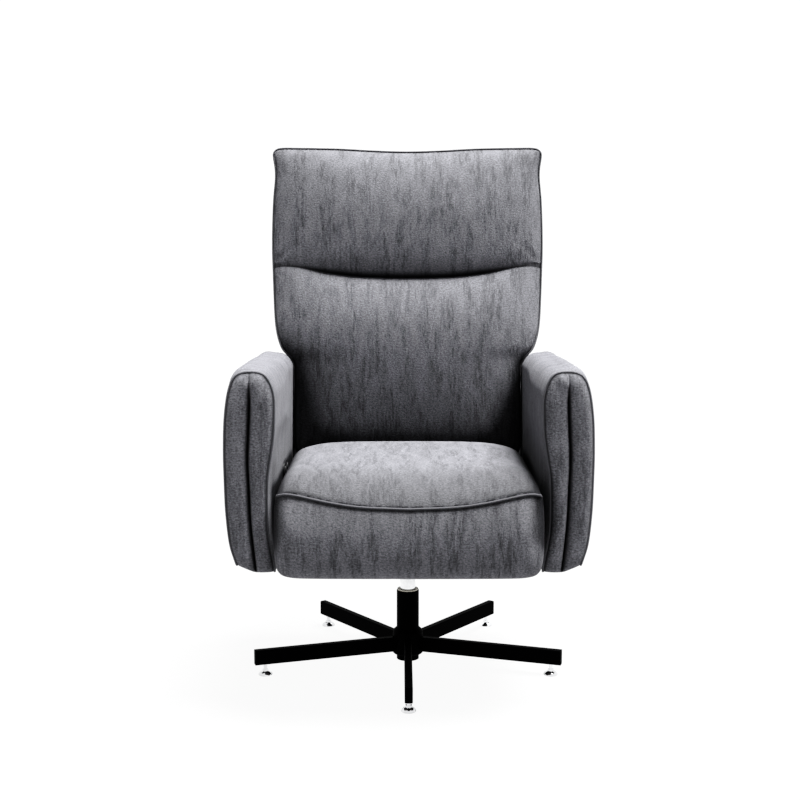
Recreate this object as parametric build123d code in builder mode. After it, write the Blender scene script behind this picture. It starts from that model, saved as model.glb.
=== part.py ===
from build123d import *
import os
from math import sin, cos, tan, radians

os.makedirs("parts", exist_ok=True)

# Swivel recliner: star base, swivel post, powered back and footrest, tilting headrest.
# Millimetres. Origin on the floor under the swivel axis, +Z up, the chair faces -Y.
# Left and right are the sitter's: right is -X.

# ---- star base
leg_angles = [-90, -162, -18, 126, 54]  # front, front right, front left, rear right, rear left
glide_names = ["front", "front_right", "front_left", "rear_right", "rear_left"]
glide_radius = 320.0
leg_end_radius = 340.0
leg_width = 16.0
leg_height = 32.0
leg_bottom = 24.0
leg_wall = 2.0
sleeve_r = 24.15
sleeve_bore_r = 21.0
sleeve_bottom = 5.0
sleeve_top = 160.0
collar_r = 33.0
post_r = 16.85
running_gap = 0.05
stud_r = 4.0

# ---- seat chassis
plate_size = 190.0
plate_bottom = 285.0
frame_bottom = 291.0
rail_in = 222.0
rail_out = 242.0
rail_top = 341.0
tube_top = 361.0
bracket_in = 216.0
lever_in = 208.0
lever_out = 214.0
bar_in = 200.0
bar_out = 206.0
bar_z = 325.0
foam_half = 252.0
arm_in = 263.0

# ---- recline, headrest and footrest pivots (y, z)
recline_y, recline_z = 195.0, 405.0
lean = 13.5
recline_range = 32.0
foot_y, foot_z = -370.0, 412.0
foot_range = 85.0
crank_drop = 26.5
head_hinge_y, head_hinge_z = 20.0, 447.0  # in the leaning frame of the back
drive_stroke = 2 * (recline_z - bar_z) * tan(radians(recline_range / 2))
rear_pin_y = recline_y + drive_stroke / 2
front_pin_y = foot_y + drive_stroke / 2
front_pin_z = foot_z - crank_drop

s_lean, c_lean = sin(radians(lean)), cos(radians(lean))


def leg_plane(angle):
    """Plane across a leg: x sideways, y up, normal outwards along the leg."""
    a = radians(angle)
    return Plane(
        origin=(0, 0, leg_bottom + leg_height / 2),
        x_dir=(-sin(a), cos(a), 0),
        z_dir=(cos(a), sin(a), 0),
    )


def back_side(x):
    """Plane along the leaning back seen from the side: x rearwards, y up the back, normal +X."""
    return Plane(
        origin=(x, recline_y, recline_z), x_dir=(0, c_lean, -s_lean), z_dir=(1, 0, 0)
    )


def back_front(depth):
    """Plane of the leaning back seen from the front, this far behind the pivot: normal forwards."""
    return Plane(
        origin=(0, recline_y + depth * c_lean, recline_z - depth * s_lean),
        x_dir=(1, 0, 0),
        z_dir=(0, -c_lean, s_lean),
    )


side = Plane.YZ  # x is Y, y is Z, normal +X

pieces = {}

# =====================================================================================
# Base
# =====================================================================================

with BuildPart() as hub_sleeve:
    with BuildSketch(Plane.XZ):
        with BuildLine():
            Polyline(
                (sleeve_bore_r, sleeve_bottom),
                (sleeve_r, sleeve_bottom),
                (sleeve_r, 18),
                (collar_r - 2, 18),
                (collar_r, 20),
                (collar_r, 67),
                (collar_r - 1.5, 69.5),
                (sleeve_r, 76),
                (sleeve_r, sleeve_top - 1),
                (sleeve_r - 1, sleeve_top),
                (sleeve_bore_r, sleeve_top),
                close=True,
            )
        make_face()
    revolve(axis=Axis.Z)
pieces["hub_sleeve"] = hub_sleeve

with BuildPart() as base_legs:
    for angle in leg_angles:
        with BuildSketch(leg_plane(angle).offset(22)):
            RectangleRounded(leg_width, leg_height, 2.5)
            RectangleRounded(
                leg_width - 2 * leg_wall, leg_height - 2 * leg_wall, 0.4, mode=Mode.SUBTRACT
            )
        extrude(amount=leg_end_radius - 22)
    # the inner ends are coped to the collar
    with BuildSketch(Plane.XY.offset(leg_bottom - 4)):
        Circle(collar_r)
    extrude(amount=leg_height + 8, mode=Mode.SUBTRACT)
    # holes for the glide studs in the bottom walls
    with BuildSketch(Plane.XY.offset(leg_bottom - 2)):
        with PolarLocations(glide_radius, 5, start_angle=-90):
            Circle(stud_r + running_gap)
    extrude(amount=leg_wall + 3, mode=Mode.SUBTRACT)
pieces["base_legs"] = base_legs

with BuildPart() as leg_end_caps:
    for angle in leg_angles:
        with BuildSketch(leg_plane(angle).offset(leg_end_radius)):
            RectangleRounded(leg_width, leg_height, 2.5)
        extrude(amount=2.5)
        with BuildSketch(leg_plane(angle).offset(leg_end_radius - 8)):
            Rectangle(leg_width - 2 * leg_wall - 0.2, leg_height - 2 * leg_wall - 2.2)
        extrude(amount=8)
pieces["leg_end_caps"] = leg_end_caps

with BuildPart() as glide_nuts:
    with BuildSketch(Plane.XY.offset(leg_bottom + leg_wall)):
        with PolarLocations(glide_radius, 5, start_angle=-90):
            Rectangle(18, leg_width - 2 * leg_wall - 1)
            Circle(stud_r + running_gap, mode=Mode.SUBTRACT)
    extrude(amount=8)
pieces["glide_nuts"] = glide_nuts

with BuildPart() as bush_upper:
    with BuildSketch(Plane.XY.offset(135)):
        Circle(sleeve_bore_r)
        Circle(post_r + running_gap, mode=Mode.SUBTRACT)
    extrude(amount=sleeve_top - 135)
    with BuildSketch(Plane.XY.offset(sleeve_top)):
        Circle(sleeve_r - 1.5)
        Circle(post_r + running_gap, mode=Mode.SUBTRACT)
    extrude(amount=2.5)
pieces["bush_upper"] = bush_upper

with BuildPart() as bush_lower:
    with BuildSketch(Plane.XY.offset(40)):
        Circle(sleeve_bore_r)
        Circle(post_r + running_gap, mode=Mode.SUBTRACT)
    extrude(amount=20)
pieces["bush_lower"] = bush_lower

with BuildPart() as hub_floor:
    with BuildSketch(Plane.XY.offset(10)):
        Circle(sleeve_bore_r)
        Circle(5.2, mode=Mode.SUBTRACT)
    extrude(amount=5)
pieces["hub_floor"] = hub_floor

with BuildPart() as thrust_bearing:
    with BuildSketch(Plane.XY.offset(15)):
        Circle(20.4)
        Circle(7, mode=Mode.SUBTRACT)
    extrude(amount=5.9)
pieces["thrust_bearing"] = thrust_bearing

# =====================================================================================
# Levelling glides: chrome pad on a threaded stud, one per leg
# =====================================================================================

for angle, where in zip(leg_angles, glide_names):
    gx = glide_radius * cos(radians(angle))
    gy = glide_radius * sin(radians(angle))
    with BuildPart() as glide:
        with BuildSketch(Plane(origin=(gx, gy, 0), x_dir=(1, 0, 0), z_dir=(0, -1, 0))):
            with BuildLine():
                Line((0, 0), (13.6, 0))
                ThreePointArc((13.6, 0), (14.9, 0.9), (15, 2.2))
                ThreePointArc((15, 2.2), (11.6, 6.6), (6.4, 9.2))
                Line((6.4, 9.2), (6.4, 13.2))
                Line((6.4, 13.2), (stud_r, 13.2))
                Line((stud_r, 13.2), (stud_r, 45))
                Line((stud_r, 45), (0, 45))
                Line((0, 45), (0, 0))
            make_face()
        revolve(axis=Axis((gx, gy, 0), (0, 0, 1)))
    pieces["glide_" + where] = glide

# =====================================================================================
# Swivel post and seat chassis
# =====================================================================================

with BuildPart() as swivel_post:
    with BuildSketch(Plane.XY.offset(21)):
        Circle(post_r)
    extrude(amount=plate_bottom - 21)
    with BuildSketch(Plane.XY.offset(41)):
        Circle(post_r - 3)
    extrude(amount=plate_bottom - 41, mode=Mode.SUBTRACT)
    with BuildSketch(Plane.XY.offset(21)):
        Circle(4.25)
    extrude(amount=20, mode=Mode.SUBTRACT)
pieces["swivel_post"] = swivel_post

with BuildPart() as retaining_bolt:
    with BuildSketch(Plane.XY.offset(5.2)):
        Circle(8)
    extrude(amount=4.6)
    with BuildSketch(Plane.XY.offset(9.8)):
        Circle(4.2)
    extrude(amount=28)
    with BuildSketch(Plane.XY.offset(5.2)):
        RegularPolygon(3.4, 6)
    extrude(amount=3, mode=Mode.SUBTRACT)
pieces["retaining_bolt"] = retaining_bolt

with BuildPart() as swivel_plate:
    with BuildSketch(Plane.XY.offset(plate_bottom)):
        RectangleRounded(plate_size, plate_size, 18)
        with GridLocations(150, 150, 2, 2):
            Circle(4.3, mode=Mode.SUBTRACT)
    extrude(amount=6)
pieces["swivel_plate"] = swivel_plate

with BuildPart() as plate_bolts:
    with BuildSketch(Plane.XY.offset(plate_bottom - 5)):
        with GridLocations(150, 150, 2, 2):
            RegularPolygon(7, 6)
    extrude(amount=5)
    with BuildSketch(Plane.XY.offset(plate_bottom)):
        with GridLocations(150, 150, 2, 2):
            Circle(4.2)
    extrude(amount=18)
pieces["plate_bolts"] = plate_bolts

with BuildPart() as bearers:
    for y in (-75, 75):
        with BuildSketch(Plane.YZ.offset(-rail_in)):
            with Locations((y, frame_bottom + 10)):
                Rectangle(30, 20)
                Rectangle(26, 16, mode=Mode.SUBTRACT)
        extrude(amount=2 * rail_in)
    with BuildSketch(Plane.XY.offset(frame_bottom - 1)):
        with GridLocations(150, 150, 2, 2):
            Circle(4.3)
    extrude(amount=8, mode=Mode.SUBTRACT)
pieces["bearers"] = bearers

arm_bolt_spots = [(-180, 318), (40, 318)]

with BuildPart() as seat_rails:
    with BuildSketch(Plane.XZ.offset(300)):
        with Locations(((rail_in + rail_out) / 2, (frame_bottom + rail_top) / 2)):
            Rectangle(rail_out - rail_in, rail_top - frame_bottom)
            Rectangle(rail_out - rail_in - 4, rail_top - frame_bottom - 4, mode=Mode.SUBTRACT)
    extrude(amount=-465)
    with BuildSketch(side.offset(rail_in - 2)):
        with Locations(*arm_bolt_spots):
            Circle(4.2)
    extrude(amount=24, mode=Mode.SUBTRACT)
    mirror(about=Plane.YZ)
pieces["seat_rails"] = seat_rails

with BuildPart() as cross_tubes:
    for y in (-270, 135):
        with BuildSketch(Plane.YZ.offset(-bracket_in)):
            with Locations((y, (rail_top + tube_top) / 2)):
                Rectangle(20, 20)
                Rectangle(16, 16, mode=Mode.SUBTRACT)
        extrude(amount=2 * bracket_in)
pieces["cross_tubes"] = cross_tubes

with BuildPart() as seat_webbing:
    with BuildSketch(Plane.XY.offset(tube_top)):
        with Locations(*[(x, -67.5) for x in (-165, -99, -33, 33, 99, 165)]):
            Rectangle(54, 425)
    extrude(amount=2.2)
pieces["seat_webbing"] = seat_webbing

with BuildPart() as underside_cover:
    with BuildSketch(Plane.XY.offset(frame_bottom - 3)):
        with Locations((0, -26)):
            Rectangle(2 * rail_out, 548)
        Rectangle(plate_size + 4, plate_size + 4, mode=Mode.SUBTRACT)
    extrude(amount=3)
pieces["underside_cover"] = underside_cover

with BuildPart() as rear_skirt:
    with BuildSketch(Plane.XY.offset(frame_bottom)):
        with Locations((0, 256)):
            Rectangle(2 * 254, 12)
    extrude(amount=74)
    fillet(rear_skirt.edges().filter_by(Axis.Z).group_by(Axis.Y)[-1], 8)
    # side boards on the rails, low enough for the back to swing over
    with BuildSketch(Plane.XY.offset(frame_bottom)):
        with Locations((-248, 174.8), (248, 174.8)):
            Rectangle(12, 149.6)
    extrude(amount=46)
pieces["rear_skirt"] = rear_skirt

# ---- recline brackets and pivot pins
with BuildPart() as recline_brackets:
    with BuildSketch(side.offset(bracket_in)):
        with BuildLine():
            Polyline(
                (95, 294), (162, 294), (182, 345), (214, 395), (200, 424),
                (176, 418), (146, tube_top + 3), (95, tube_top), close=True,
            )
        make_face()
        with Locations((recline_y, recline_z)):
            Circle(20)
            Circle(8, mode=Mode.SUBTRACT)
    extrude(amount=rail_in - bracket_in)
    mirror(about=Plane.YZ)
pieces["recline_brackets"] = recline_brackets

with BuildPart() as recline_pins:
    with BuildSketch(side.offset(lever_in - 1)):
        with Locations((recline_y, recline_z)):
            Circle(8)
    extrude(amount=rail_in - lever_in + 1)
    mirror(about=Plane.YZ)
pieces["recline_pins"] = recline_pins

# ---- footrest brackets and pivot pins
with BuildPart() as footrest_brackets:
    with BuildSketch(side.offset(bracket_in)):
        with BuildLine():
            Polyline(
                (-230, 294), (-230, tube_top), (-283, tube_top), (-357, 420),
                (-383, 408), (-372, 399), (-299, 312), (-299, 294), close=True,
            )
        make_face()
        with Locations((foot_y, foot_z)):
            Circle(14)
            Circle(6, mode=Mode.SUBTRACT)
    extrude(amount=rail_in - bracket_in)
    mirror(about=Plane.YZ)
pieces["footrest_brackets"] = footrest_brackets

with BuildPart() as footrest_pins:
    with BuildSketch(side.offset(lever_in - 1)):
        with Locations((foot_y, foot_z)):
            Circle(6)
    extrude(amount=rail_in - lever_in + 1)
    mirror(about=Plane.YZ)
pieces["footrest_pins"] = footrest_pins

# ---- guides that the drive carriage slides in, on the bearers
with BuildPart() as slide_guides:
    for y in (-75, 75):
        with BuildSketch(Plane.XZ.offset(-y - 14)):
            with Locations(((192 + rail_in) / 2, (frame_bottom + 20 + rail_top) / 2)):
                Rectangle(rail_in - 192, rail_top - frame_bottom - 20)
            with Locations(((bar_in + bar_out) / 2, bar_z)):
                Rectangle(bar_out - bar_in + 0.2, 20.2, mode=Mode.SUBTRACT)
        extrude(amount=28)
    mirror(about=Plane.YZ)
pieces["slide_guides"] = slide_guides

# ---- electric actuator: motor, tube and mount stay on the chassis
with BuildPart() as actuator_motor:
    with BuildSketch(Plane.XZ.offset(-120)):
        with Locations((20, 331)):
            RectangleRounded(90, 38, 8)
    extrude(amount=58)
    with BuildSketch(Plane.XZ.offset(-62)):
        with Locations((44, 331)):
            Circle(18)
    extrude(amount=78)
    with BuildSketch(Plane.XZ.offset(-145)):
        with Locations((0, 326)):
            Rectangle(26, 26)
    extrude(amount=25)
pieces["actuator_motor"] = actuator_motor

with BuildPart() as actuator_tube:
    with BuildSketch(Plane.XZ.offset(-62)):
        with Locations((0, bar_z)):
            Circle(13)
    extrude(amount=122)
    with BuildSketch(Plane.XZ.offset(-62)):
        with Locations((0, bar_z)):
            Circle(9)
    extrude(amount=112, mode=Mode.SUBTRACT)
    with BuildSketch(Plane.XZ.offset(50)):
        with Locations((0, bar_z)):
            Circle(7.5 + running_gap)
    extrude(amount=10, mode=Mode.SUBTRACT)
pieces["actuator_tube"] = actuator_tube

with BuildPart() as actuator_mount:
    with BuildSketch(Plane.XZ.offset(-151)):
        with Locations((0, 326.5)):
            Rectangle(44, 29)
    extrude(amount=6)
    with BuildSketch(Plane.XZ.offset(-151)):
        with Locations((0, 350)):
            Rectangle(44, 22)
    extrude(amount=6)
pieces["actuator_mount"] = actuator_mount

# ---- seat cushion: domed across, with a step at the front for the footrest
with BuildPart() as seat_cushion:
    with BuildSketch(Plane.XZ.offset(-118)):
        with BuildLine():
            Polyline(
                (-foam_half, 367), (-foam_half, 424), (-232, 438), (-200, 450), (-165, 462),
                (-110, 468), (0, 470), (110, 468), (165, 462), (200, 450), (232, 438),
                (foam_half, 424), (foam_half, 367), close=True,
            )
        make_face()
    extrude(amount=118 + 369)
    with BuildSketch(side.offset(-foam_half - 5)):
        with BuildLine():
            Polyline(
                (118, 367), (118, 475), (-310, 475), (-338, 467), (-358, 452), (-369, 430),
                (-369, 413.5), (-285.5, 413.5), (-285.5, 367), close=True,
            )
        make_face()
    extrude(amount=2 * foam_half + 10, mode=Mode.INTERSECT)
    # room for the footrest hinges
    for x in (-1, 1):
        with BuildSketch(side.offset(-foam_half - 1 if x < 0 else 197)):
            with Locations((-346, 421)):
                Rectangle(50, 24)
        extrude(amount=foam_half + 1 - 197, mode=Mode.SUBTRACT)
pieces["seat_cushion"] = seat_cushion

# ---- arms: plywood frame, upholstered pad, spacers and bolts
with BuildPart() as arm_frame_left:
    with BuildSketch(side.offset(275)):
        with BuildLine():
            Polyline(
                (-298, 297), (-298, 610), (140, 606), (185, 560), (198, 300), (198, 297), close=True
            )
        make_face()
        with Locations(*arm_bolt_spots):
            Circle(4.2, mode=Mode.SUBTRACT)
        with Locations((-190, 470), (-40, 470), (90, 470)):
            Circle(48, mode=Mode.SUBTRACT)
    extrude(amount=18)
pieces["arm_frame_left"] = arm_frame_left

with BuildPart() as arm_frame_right:
    mirror(arm_frame_left.part, about=Plane.YZ)
pieces["arm_frame_right"] = arm_frame_right

with BuildPart() as arm_pad_left:
    with BuildSketch(Plane.XZ.offset(-235)):
        with BuildLine():
            Polyline((arm_in, 620), (arm_in, 291), (326, 291))
            Spline(
                (326, 291), (345, 335), (352.5, 398), (355, 470), (355, 530), (351.5, 592),
                (344, 640), (328, 666), (304, 673), (282, 670), (268, 655), (arm_in, 620),
            )
        make_face()
    extrude(amount=235 + 334)
    with BuildSketch(side.offset(arm_in - 3)):
        with BuildLine():
            Polyline((-334, 650), (-334, 300), (-326, 285), (222, 285), (235, 305), (235, 540))
            Spline((235, 540), (222, 606), (192, 644), (140, 663), (60, 672), (-60, 676))
            Polyline((-60, 676), (-310, 680), (-327, 668), (-334, 650))
        make_face()
    extrude(amount=100, mode=Mode.INTERSECT)
    # slot for the frame, open at the bottom
    with BuildSketch(side.offset(274.7)):
        with BuildLine():
            Polyline(
                (-298.3, 280), (-298.3, 610.4), (140.2, 606.4), (185.4, 560), (198.4, 300),
                (198.4, 280), close=True,
            )
        make_face()
    extrude(amount=18.6, mode=Mode.SUBTRACT)
    # notches for the spacers
    with BuildSketch(side.offset(arm_in - 3)):
        with Locations((-180, 315), (40, 315)):
            Rectangle(42, 52)
    extrude(amount=15, mode=Mode.SUBTRACT)

control_y, control_z = -40.0, 437.0
with BuildPart() as arm_pad_right:
    mirror(arm_pad_left.part, about=Plane.YZ)
    # recess for the control panel on the inner face
    with BuildSketch(side.offset(-arm_in - 5.2)):
        with Locations((control_y, control_z)):
            SlotOverall(86.4, 34.4)
    extrude(amount=10, mode=Mode.SUBTRACT)
pieces["arm_pad_left"] = arm_pad_left
pieces["arm_pad_right"] = arm_pad_right

with BuildPart() as arm_spacers:
    with BuildSketch(side.offset(rail_out)):
        with Locations(*arm_bolt_spots):
            Rectangle(36, 34)
            Circle(4.2, mode=Mode.SUBTRACT)
    extrude(amount=275 - rail_out)
    mirror(about=Plane.YZ)
pieces["arm_spacers"] = arm_spacers

with BuildPart() as arm_bolts:
    with BuildSketch(side.offset(rail_in - 5)):
        with Locations(*arm_bolt_spots):
            RegularPolygon(7, 6)
    extrude(amount=5)
    with BuildSketch(side.offset(rail_in)):
        with Locations(*arm_bolt_spots):
            Circle(4)
    extrude(amount=68)
    mirror(about=Plane.YZ)
pieces["arm_bolts"] = arm_bolts

# ---- control panel with two push buttons, inside face of the right arm
with BuildPart() as control_panel:
    with BuildSketch(side.offset(-arm_in - 5)):
        with Locations((control_y, control_z)):
            SlotOverall(86, 34)
    extrude(amount=8)
    chamfer(control_panel.faces().sort_by(Axis.X)[-1].edges(), 1)
    with BuildSketch(side.offset(-arm_in - 3.5)):
        with Locations((control_y - 21, control_z), (control_y + 21, control_z)):
            Circle(9.15)
    extrude(amount=8, mode=Mode.SUBTRACT)
pieces["control_panel"] = control_panel

for dy, what in ((-21, "recline"), (21, "upright")):
    with BuildPart() as button:
        with BuildSketch(side.offset(-arm_in - 1.5)):
            with Locations((control_y + dy, control_z)):
                Circle(9)
        extrude(amount=6.5)
        fillet(button.faces().sort_by(Axis.X)[-1].edges(), 1.2)
    pieces["button_" + what] = button

# =====================================================================================
# Drive carriage: slides forwards, swings the back lever and the footrest crank
# =====================================================================================

with BuildPart() as drive_bars:
    with BuildSketch(side.offset(bar_in)):
        with BuildLine():
            Polyline(
                (rear_pin_y, bar_z - 10), (rear_pin_y, bar_z + 10), (-296, bar_z + 10),
                (-296, front_pin_z + 9), (front_pin_y, front_pin_z + 9),
                (front_pin_y, front_pin_z - 9), (-312, front_pin_z - 9), (-312, bar_z - 10),
                close=True,
            )
        make_face()
        with Locations((rear_pin_y, bar_z)):
            Circle(10)
        with Locations((front_pin_y, front_pin_z)):
            Circle(9)
        with Locations((rear_pin_y, bar_z)):
            Circle(5, mode=Mode.SUBTRACT)
        with Locations((front_pin_y, front_pin_z)):
            Circle(4, mode=Mode.SUBTRACT)
    extrude(amount=bar_out - bar_in)
    mirror(about=Plane.YZ)
pieces["drive_bars"] = drive_bars

with BuildPart() as drive_pins:
    with BuildSketch(side.offset(bar_in)):
        with Locations((rear_pin_y, bar_z)):
            Circle(5)
        with Locations((front_pin_y, front_pin_z)):
            Circle(4)
    extrude(amount=15)
    mirror(about=Plane.YZ)
pieces["drive_pins"] = drive_pins

with BuildPart() as drive_cross_bar:
    with BuildSketch(Plane.YZ.offset(-bar_in)):
        with Locations((-140, bar_z)):
            Rectangle(20, 20)
            Rectangle(16, 16, mode=Mode.SUBTRACT)
    extrude(amount=2 * bar_in)
pieces["drive_cross_bar"] = drive_cross_bar

with BuildPart() as actuator_rod:
    with BuildSketch(Plane.XZ.offset(130)):
        with Locations((0, bar_z)):
            Circle(7.5)
    extrude(amount=-185)
pieces["actuator_rod"] = actuator_rod

# =====================================================================================
# Footrest
# =====================================================================================

with BuildPart() as footrest_arms:
    with BuildSketch(side.offset(lever_in)):
        with BuildLine():
            Polyline(
                (-318, 302), (-318, 372), (-342, 398), (-360, 421), (-380, 403), (-352, 366),
                (-334.5, 332), (-334.5, 302), close=True,
            )
        make_face()
        with Locations((foot_y, foot_z)):
            Circle(13)
            Circle(6 + running_gap, mode=Mode.SUBTRACT)
        with Locations(
            Location(
                (
                    foot_y + 30.8 * sin(radians(foot_range / 2)),
                    foot_z - 30.8 * cos(radians(foot_range / 2)),
                ),
                -(90 - foot_range / 2),
            )
        ):
            SlotOverall(21, 11, mode=Mode.SUBTRACT)
    extrude(amount=lever_out - lever_in)
    with BuildSketch(Plane.XZ.offset(323)):
        with Locations((179, 326)):
            Rectangle(58, 48)
    extrude(amount=-5)
    mirror(about=Plane.YZ)
pieces["footrest_arms"] = footrest_arms

with BuildPart() as footrest_board:
    with BuildSketch(Plane.XZ.offset(323)):
        with Locations((0, 346)):
            RectangleRounded(2 * 195, 108, 10)
    extrude(amount=12)
pieces["footrest_board"] = footrest_board

with BuildPart() as footrest_pad:
    with BuildSketch(Plane.XZ.offset(335)):
        with BuildLine():
            Polyline(
                (-252, 411), (-252, 330), (-244, 303), (-222, 289), (-190, 286),
                (190, 286), (222, 289), (244, 303), (252, 330), (252, 411), close=True,
            )
        make_face()
    extrude(amount=76)
    with BuildSketch(side.offset(-260)):
        with BuildLine():
            Polyline(
                (-335, 280), (-335, 420), (-398, 420), (-407, 396), (-411, 365), (-410, 335),
                (-402, 305), (-388, 286), (-380, 280), close=True,
            )
        make_face()
    extrude(amount=520, mode=Mode.INTERSECT)
    # room for the hinge plates and the drive bars at both sides
    for x in (-260, 197):
        with BuildSketch(side.offset(x)):
            with Locations((-361, 372)):
                Rectangle(54, 84)
        extrude(amount=63, mode=Mode.SUBTRACT)
pieces["footrest_pad"] = footrest_pad

# =====================================================================================
# Back
# =====================================================================================

with BuildPart() as back_levers:
    with BuildSketch(back_side(lever_in)):
        lx, lz = sin(radians(lean + recline_range / 2)), -cos(radians(lean + recline_range / 2))
        reach = 81.6
        with BuildLine():
            Polyline(
                (-15, 8), (6, 40), (6, 150), (36, 150), (36, 30), (18, 4),
                (reach * lx + 14, reach * lz + 6), (reach * lx + 8, reach * lz - 15),
                (reach * lx - 8, reach * lz - 15), (reach * lx - 15, reach * lz - 4), (-18, -6),
                close=True,
            )
        make_face()
        Circle(20)
        Circle(8 + running_gap, mode=Mode.SUBTRACT)
        with Locations(Location((reach * lx, reach * lz), -(90 - lean - recline_range / 2))):
            SlotOverall(18, 11, mode=Mode.SUBTRACT)
    extrude(amount=lever_out - lever_in)
    mirror(about=Plane.YZ)
pieces["back_levers"] = back_levers

with BuildPart() as back_frame:
    with BuildSketch(back_front(33)):
        with Locations((0, 226.25)):
            Rectangle(416, 412.5)
        with Locations((0, 131.25)):
            Rectangle(366, 172.5, mode=Mode.SUBTRACT)
        with Locations((0, 325)):
            Rectangle(366, 165, mode=Mode.SUBTRACT)
    extrude(amount=25)
pieces["back_frame"] = back_frame

with BuildPart() as back_webbing:
    with BuildSketch(back_front(8)):
        with Locations(*[(0, z) for z in (75, 150, 225, 300, 375)]):
            Rectangle(412, 46)
    extrude(amount=1.8)
pieces["back_webbing"] = back_webbing

back_outline = [
    (225, 16), (248, 34), (253, 110), (255, 240), (284, 266), (298, 288), (307, 340), (311, 400),
]

with BuildPart() as back_cushion:
    with BuildSketch(back_front(5)):
        with BuildLine():
            Polyline(
                *back_outline, (312, 441), (-312, 441), *[(-x, z) for x, z in reversed(back_outline)],
                close=True,
            )
        make_face()
    extrude(amount=90)
    with BuildSketch(back_side(-320)):
        with BuildLine():
            Polyline(
                (5, 10), (5, 441), (-20, 438), (-56, 420), (-72, 400), (-80, 360), (-84, 260),
                (-85, 140), (-80, 40), (-70, 10), close=True,
            )
        make_face()
    extrude(amount=640, mode=Mode.INTERSECT)
    # room for the recline hinges at both sides
    for x in (-260, 200):
        with BuildSketch(back_side(x)):
            with Locations((-10, 20)):
                Rectangle(44, 36)
        extrude(amount=60, mode=Mode.SUBTRACT)
pieces["back_cushion"] = back_cushion

with BuildPart() as back_shell:
    with BuildSketch(back_front(60)):
        with BuildLine():
            Polyline(
                (236, -20), (248, 0), (253, 110), (255, 246), (284, 268), (298, 290), (307, 340),
                (311, 400), (312, 440), (-312, 440), (-311, 400), (-307, 340), (-298, 290),
                (-284, 268), (-255, 246), (-253, 110), (-248, 0), (-236, -20), close=True,
            )
        make_face()
    extrude(amount=23)
    with BuildSketch(back_side(-320)):
        with BuildLine():
            Polyline(
                (36.5, -20), (36.5, 440), (56, 440), (60, 380), (61, 200), (56, 40), (50, -20),
                close=True,
            )
        make_face()
    extrude(amount=640, mode=Mode.INTERSECT)
pieces["back_shell"] = back_shell

with BuildPart() as head_hinge_lowers:
    with BuildSketch(back_side(108)):
        with Locations((head_hinge_y, head_hinge_z)):
            Circle(12)
        with Locations((head_hinge_y, 440)):
            Rectangle(24, 15)
        with Locations((head_hinge_y, head_hinge_z)):
            Circle(5, mode=Mode.SUBTRACT)
    extrude(amount=6)
    mirror(about=Plane.YZ)
pieces["head_hinge_lowers"] = head_hinge_lowers

with BuildPart() as head_hinge_pins:
    with BuildSketch(back_side(106)):
        with Locations((head_hinge_y, head_hinge_z)):
            Circle(5)
    extrude(amount=17)
    mirror(about=Plane.YZ)
pieces["head_hinge_pins"] = head_hinge_pins

# =====================================================================================
# Headrest
# =====================================================================================

with BuildPart() as head_hinge_arms:
    with BuildSketch(back_side(115)):
        with BuildLine():
            Polyline(
                (9, 447), (22, 467), (22, 560), (36, 560), (36, 462), (31.5, 447), close=True
            )
        make_face()
        with Locations((head_hinge_y, head_hinge_z)):
            Circle(12)
            Circle(5 + running_gap, mode=Mode.SUBTRACT)
    extrude(amount=6)
    mirror(about=Plane.YZ)
pieces["head_hinge_arms"] = head_hinge_arms

with BuildPart() as head_board:
    with BuildSketch(back_front(22)):
        with Locations((0, 590)):
            RectangleRounded(500, 236, 30)
    extrude(amount=12)
pieces["head_board"] = head_board

with BuildPart() as head_cushion:
    with BuildSketch(back_front(9.7)):
        with BuildLine():
            Polyline(
                (304, 452), (313, 480), (316, 545), (314, 640), (312, 690), (314, 722), (304, 739),
                (200, 741), (0, 738), (-200, 741), (-304, 739), (-314, 722), (-312, 690), (-314, 640),
                (-316, 545), (-313, 480), (-304, 452), close=True,
            )
        make_face()
    extrude(amount=84)
    with BuildSketch(back_side(-320)):
        with BuildLine():
            Polyline(
                (9.7, 456), (9.7, 745), (-8, 745), (-36, 732), (-56, 705), (-68, 640), (-72, 570),
                (-70, 510), (-60, 484), (-30, 465), close=True,
            )
        make_face()
    extrude(amount=640, mode=Mode.INTERSECT)
pieces["head_cushion"] = head_cushion

with BuildPart() as head_shell:
    with BuildSketch(back_front(56)):
        with BuildLine():
            Polyline(
                (304, 458), (313, 480), (316, 545), (314, 640), (312, 690), (314, 722), (304, 737),
                (-304, 737), (-314, 722), (-312, 690), (-314, 640), (-316, 545), (-313, 480),
                (-304, 458), close=True,
            )
        make_face()
    extrude(amount=18)
    with BuildSketch(back_side(-320)):
        with BuildLine():
            Polyline((38, 456), (38, 738), (44, 738), (53, 690), (55.5, 560), (56, 456), close=True)
        make_face()
    extrude(amount=640, mode=Mode.INTERSECT)
pieces["head_shell"] = head_shell

for name, piece in pieces.items():
    piece.part.label = name
    export_step(piece.part, "parts/" + name + ".step")

print(len(pieces), "pieces")
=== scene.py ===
from math import cos, pi, radians, sin

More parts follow.
